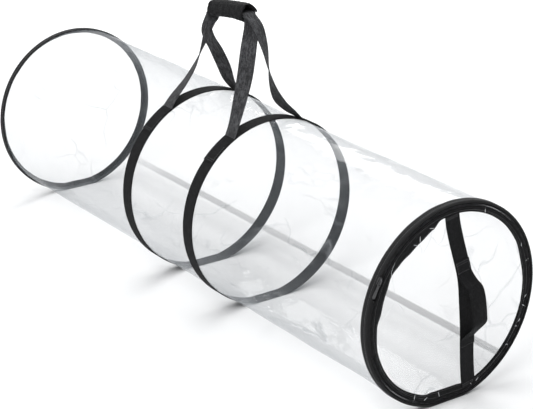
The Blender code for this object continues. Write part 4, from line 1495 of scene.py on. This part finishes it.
@dataclass
class GripWrap:
    """The padded sleeve round both handles, its flap and the patches between them."""

    finishes: Finishes
    slit_low: float = radians(72.0)
    slit_high: float = radians(112.0)
    full_end: float = radians(345.0)
    root_end: float = radians(152.0)
    padding: float = 0.00175
    lining_radius: float = 0.0112
    underside_rise: float = 0.0031

    def arc(self, name: str, inner: Height, outer: Height,
            start: float, end: float, inset: float, material: bpy.types.Material,
            rows: int = 72, columns: int = 96) -> bpy.types.Object:
        """Make a curved pad round the grip's axis.

        Args:
            name: The piece's name.
            inner: The inner radius from (share along, angle).
            outer: The outer radius from (share along, angle).
            start: The first angle.
            end: The last angle.
            inset: How far it stops short of the grip's ends.
            material: Its finish.
            rows: The count of steps round the axis.
            columns: The count of steps along it.

        Returns:
            The piece, with UVs in metres.
        """
        half = GRIP.length / 2 - inset
        verts, uvs = [], []
        for i in range(rows + 1):
            a = start + (end - start) * i / rows
            line = []
            for j in range(columns + 1):
                t = -1 + 2 * j / columns
                line.append((t * half, outer(t, a)))
            line += [(t * half, inner(t, a)) for t in (1 - 2 * j / columns for j in range(columns + 1))]
            for along, r in line:
                verts.append(GRIP.at(along, r * cos(a), r * sin(a)))
                uvs.append((along, r * a))
        faces = grid_faces(rows + 1, 2 * columns + 2, closed_columns=True, capped=True)
        return mesh_piece(name, verts, faces, material, uvs)

    def build(self) -> None:
        """Build the sleeve, the flap and the patches."""

        def lining(t: float, a: float) -> float:
            """Return the sleeve's inner radius, its underside drawn up towards the webbing."""
            rise = self.underside_rise * smooth_step((1.0 - t) / 0.9) * smooth_step((1.0 + t) / 0.25)
            drop = self.lining_radius - rise
            down = min(sin(a), 0.0)
            upper = (cos(a) ** 2 + max(sin(a), 0.0) ** 2) / self.lining_radius ** 2
            return 1 / sqrt(upper + (down / drop) ** 2)

        def pad(t: float, a: float) -> float:
            """Return the sleeve's outer radius, full in its middle and drawn in at its hems."""
            hem = smooth_step((1 - abs(t)) / 0.08)
            groove = 0.0006 * exp(-((abs(t) - 0.88) / 0.02) ** 2)
            fold = 0.00055 * ripple(t * 9.0, cos(a) * 1.2, sin(a) * 1.2)
            past, ahead = a - self.slit_high, self.full_end - a
            clear = 1.0 if past > 0.0 and ahead > 0.0 else 0.0
            full = 0.0005 * clear * smooth_step(past / 0.4) * smooth_step(ahead / 0.4)
            seam = smooth_step((self.slit_low + 2 * pi - a) / 0.3)
            root = 0.0020 * seam * smooth_step((self.root_end - a) / 0.6)
            return lining(t, a) + self.padding + root + (full + fold * clear) * hem - groove * hem

        sleeve = self.arc("grip_pad", lining, pad, self.slit_high, self.slit_low + 2 * pi, 0.0,
                          self.finishes.fabric, 120)
        finish_piece(sleeve, Body.GRIP, Slot.FABRIC, "grip_sleeve")
        for name, node, low, high, body in (("grip_hooks", "hook_patch", 0.0132, 0.0139, Body.GRIP),
                                            ("grip_loops", "loop_patch", 0.0141, 0.0148, Body.FLAP)):
            patch = self.arc(name, lambda t, a, r=low: r, lambda t, a, r=high: r, radians(8.0), radians(62.0),
                             0.008, self.finishes.pile, 24, 60)
            finish_piece(patch, body, Slot.HOOK_LOOP, node)

        def flap_inner(t: float, a: float) -> float:
            """Return the flap's inner radius, laid down on the sleeve beyond the patches."""
            turn = degrees(a)
            low = max(smooth_step((abs(t) - 0.84) / 0.10), smooth_step((7.5 - turn) / 5.0))
            middle = smooth_step((turn - 63.0) / 10.0)
            down = max(low, middle)
            corner = smooth_step((t - 0.70) / 0.30) * smooth_step((40.0 - turn) / 38.0)
            return 0.0150 - 0.0010 * down + 0.0016 * corner

        def flap_outer(t: float, a: float) -> float:
            """Return the flap's outer radius, padded between its hems."""
            hem = smooth_step((1 - abs(t)) / 0.10) * smooth_step((a - radians(4.0)) / 0.22)
            hem *= smooth_step((self.slit_high - a) / 0.5)
            fold = 0.00035 * ripple(t * 8.0, a * 1.5, 3.0)
            return flap_inner(t, a) + 0.0011 + (0.0006 + fold) * hem

        flap = self.arc("grip_flap_pad", flap_inner, flap_outer, radians(2.0), self.slit_high, 0.0,
                        self.finishes.fabric)
        finish_piece(flap, Body.FLAP, Slot.FABRIC, "grip_flap")


@dataclass
class Studio:
    """The floor, the lights and the camera."""

    eye: Point = (2.124, -1.466, 1.154)
    target: Point = (0.061, 0.0, 0.154)
    lens: float = 118.6

    def build(self) -> None:
        """Build the studio."""
        self.build_floor()
        self.build_world()
        self.add_lamp("key", (1.2, -1.8, 2.4), (0.0, 0.0, 0.1), 1.6, 46.0)
        self.add_lamp("top", (-0.6, 0.3, 2.6), (0.0, 0.0, 0.1), 2.2, 34.0)
        self.add_lamp("rim", (-1.6, 1.8, 1.3), (0.0, 0.0, 0.15), 1.0, 18.0)
        self.add_camera()

    def build_floor(self) -> None:
        """Build the plain pale floor, which keeps the object's shadow."""
        half = 12.0
        floor = mesh_piece("studio_floor", [(-half, -half, 0.0), (half, -half, 0.0), (half, half, 0.0),
                                            (-half, half, 0.0)], [(0, 1, 2, 3)], self.floor_material())

    def floor_material(self) -> bpy.types.Material:
        """Return the floor's matt near-white paint."""
        g = Graph("studio_paper")
        place = g.add("TexCoord").outputs["Object"]
        grain = g.add("TexNoise", None, Vector=place, Scale=300.0).outputs[0]
        g.link(g.bump(grain, 0.00005, 0.3), "Normal")
        far = g.add("VectorMath", {"operation": "LENGTH"}, i0=place).outputs["Value"]
        seen = g.add("LightPath").outputs["Is Camera Ray"]
        g.link(g.math("MULTIPLY", g.ramp(far, 1.2, 2.6, 0.0, 1.0), seen), "Emission Strength")
        g.set(Base_Color=(0.93, 0.93, 0.93, 1.0), Roughness=0.95, Specular_IOR_Level=0.1,
              Emission_Color=(1.0, 1.0, 1.0, 1.0))
        return g.material

    def build_world(self) -> None:
        """Give the camera a white background and the object a softer sky."""
        g = Graph("studio_air", world=True)
        bpy.context.scene.world = g.material
        g.set(Color=(0.86, 0.88, 0.90, 1.0), Strength=0.55)
        white = g.add("Background", None, Color=(1.0, 1.0, 1.0, 1.0), Strength=1.0)
        ray = g.add("LightPath").outputs
        seen = g.math("MAXIMUM", ray["Is Camera Ray"], ray["Is Glossy Ray"])
        seen = g.math("MAXIMUM", seen, ray["Is Transmission Ray"])
        mix = g.add("MixShader", None, i0=seen, i1=g.shader.outputs[0], i2=white.outputs[0])
        g.tree.links.new(mix.outputs[0], g.tree.nodes["World Output"].inputs["Surface"])

    def aim(self, name: str, data: bpy.types.ID, place: Point, target: Point) -> bpy.types.Object:
        """Place a lamp or camera so that it faces a target."""
        obj = place_object(name, data)
        obj.location = place
        obj.rotation_euler = (Vector(target) - Vector(place)).to_track_quat("-Z", "Y").to_euler()
        return obj

    def add_lamp(self, name: str, place: Point, target: Point, size: float, power: float) -> None:
        """Add a soft square lamp that faces a target."""
        data = bpy.data.lights.new(name, "AREA")
        data.size = size
        data.energy = power
        self.aim(name, data, place, target)

    def add_camera(self) -> None:
        """Place the camera at the photo's angle."""
        data = bpy.data.cameras.new("camera")
        data.lens = self.lens
        data.sensor_width = 36.0
        bpy.context.scene.camera = self.aim("camera", data, self.eye, self.target)


def main() -> None:
    """Build the studio and every sub-assembly."""
    logging.basicConfig(level=logging.INFO, format="%(name)s: %(message)s")
    bpy.context.scene.view_settings.view_transform = "Standard"
    Studio().build()
    finishes = build_finishes()
    for maker in (ClearTube, EdgeBindings, ZipTrack, GirthStraps, Lid, CarryHandles, GripWrap):
        maker(finishes).build()
        log.info("%s done", maker.__name__)


if __name__ == "__main__":
    main()
    bpy.context.view_layer.update()
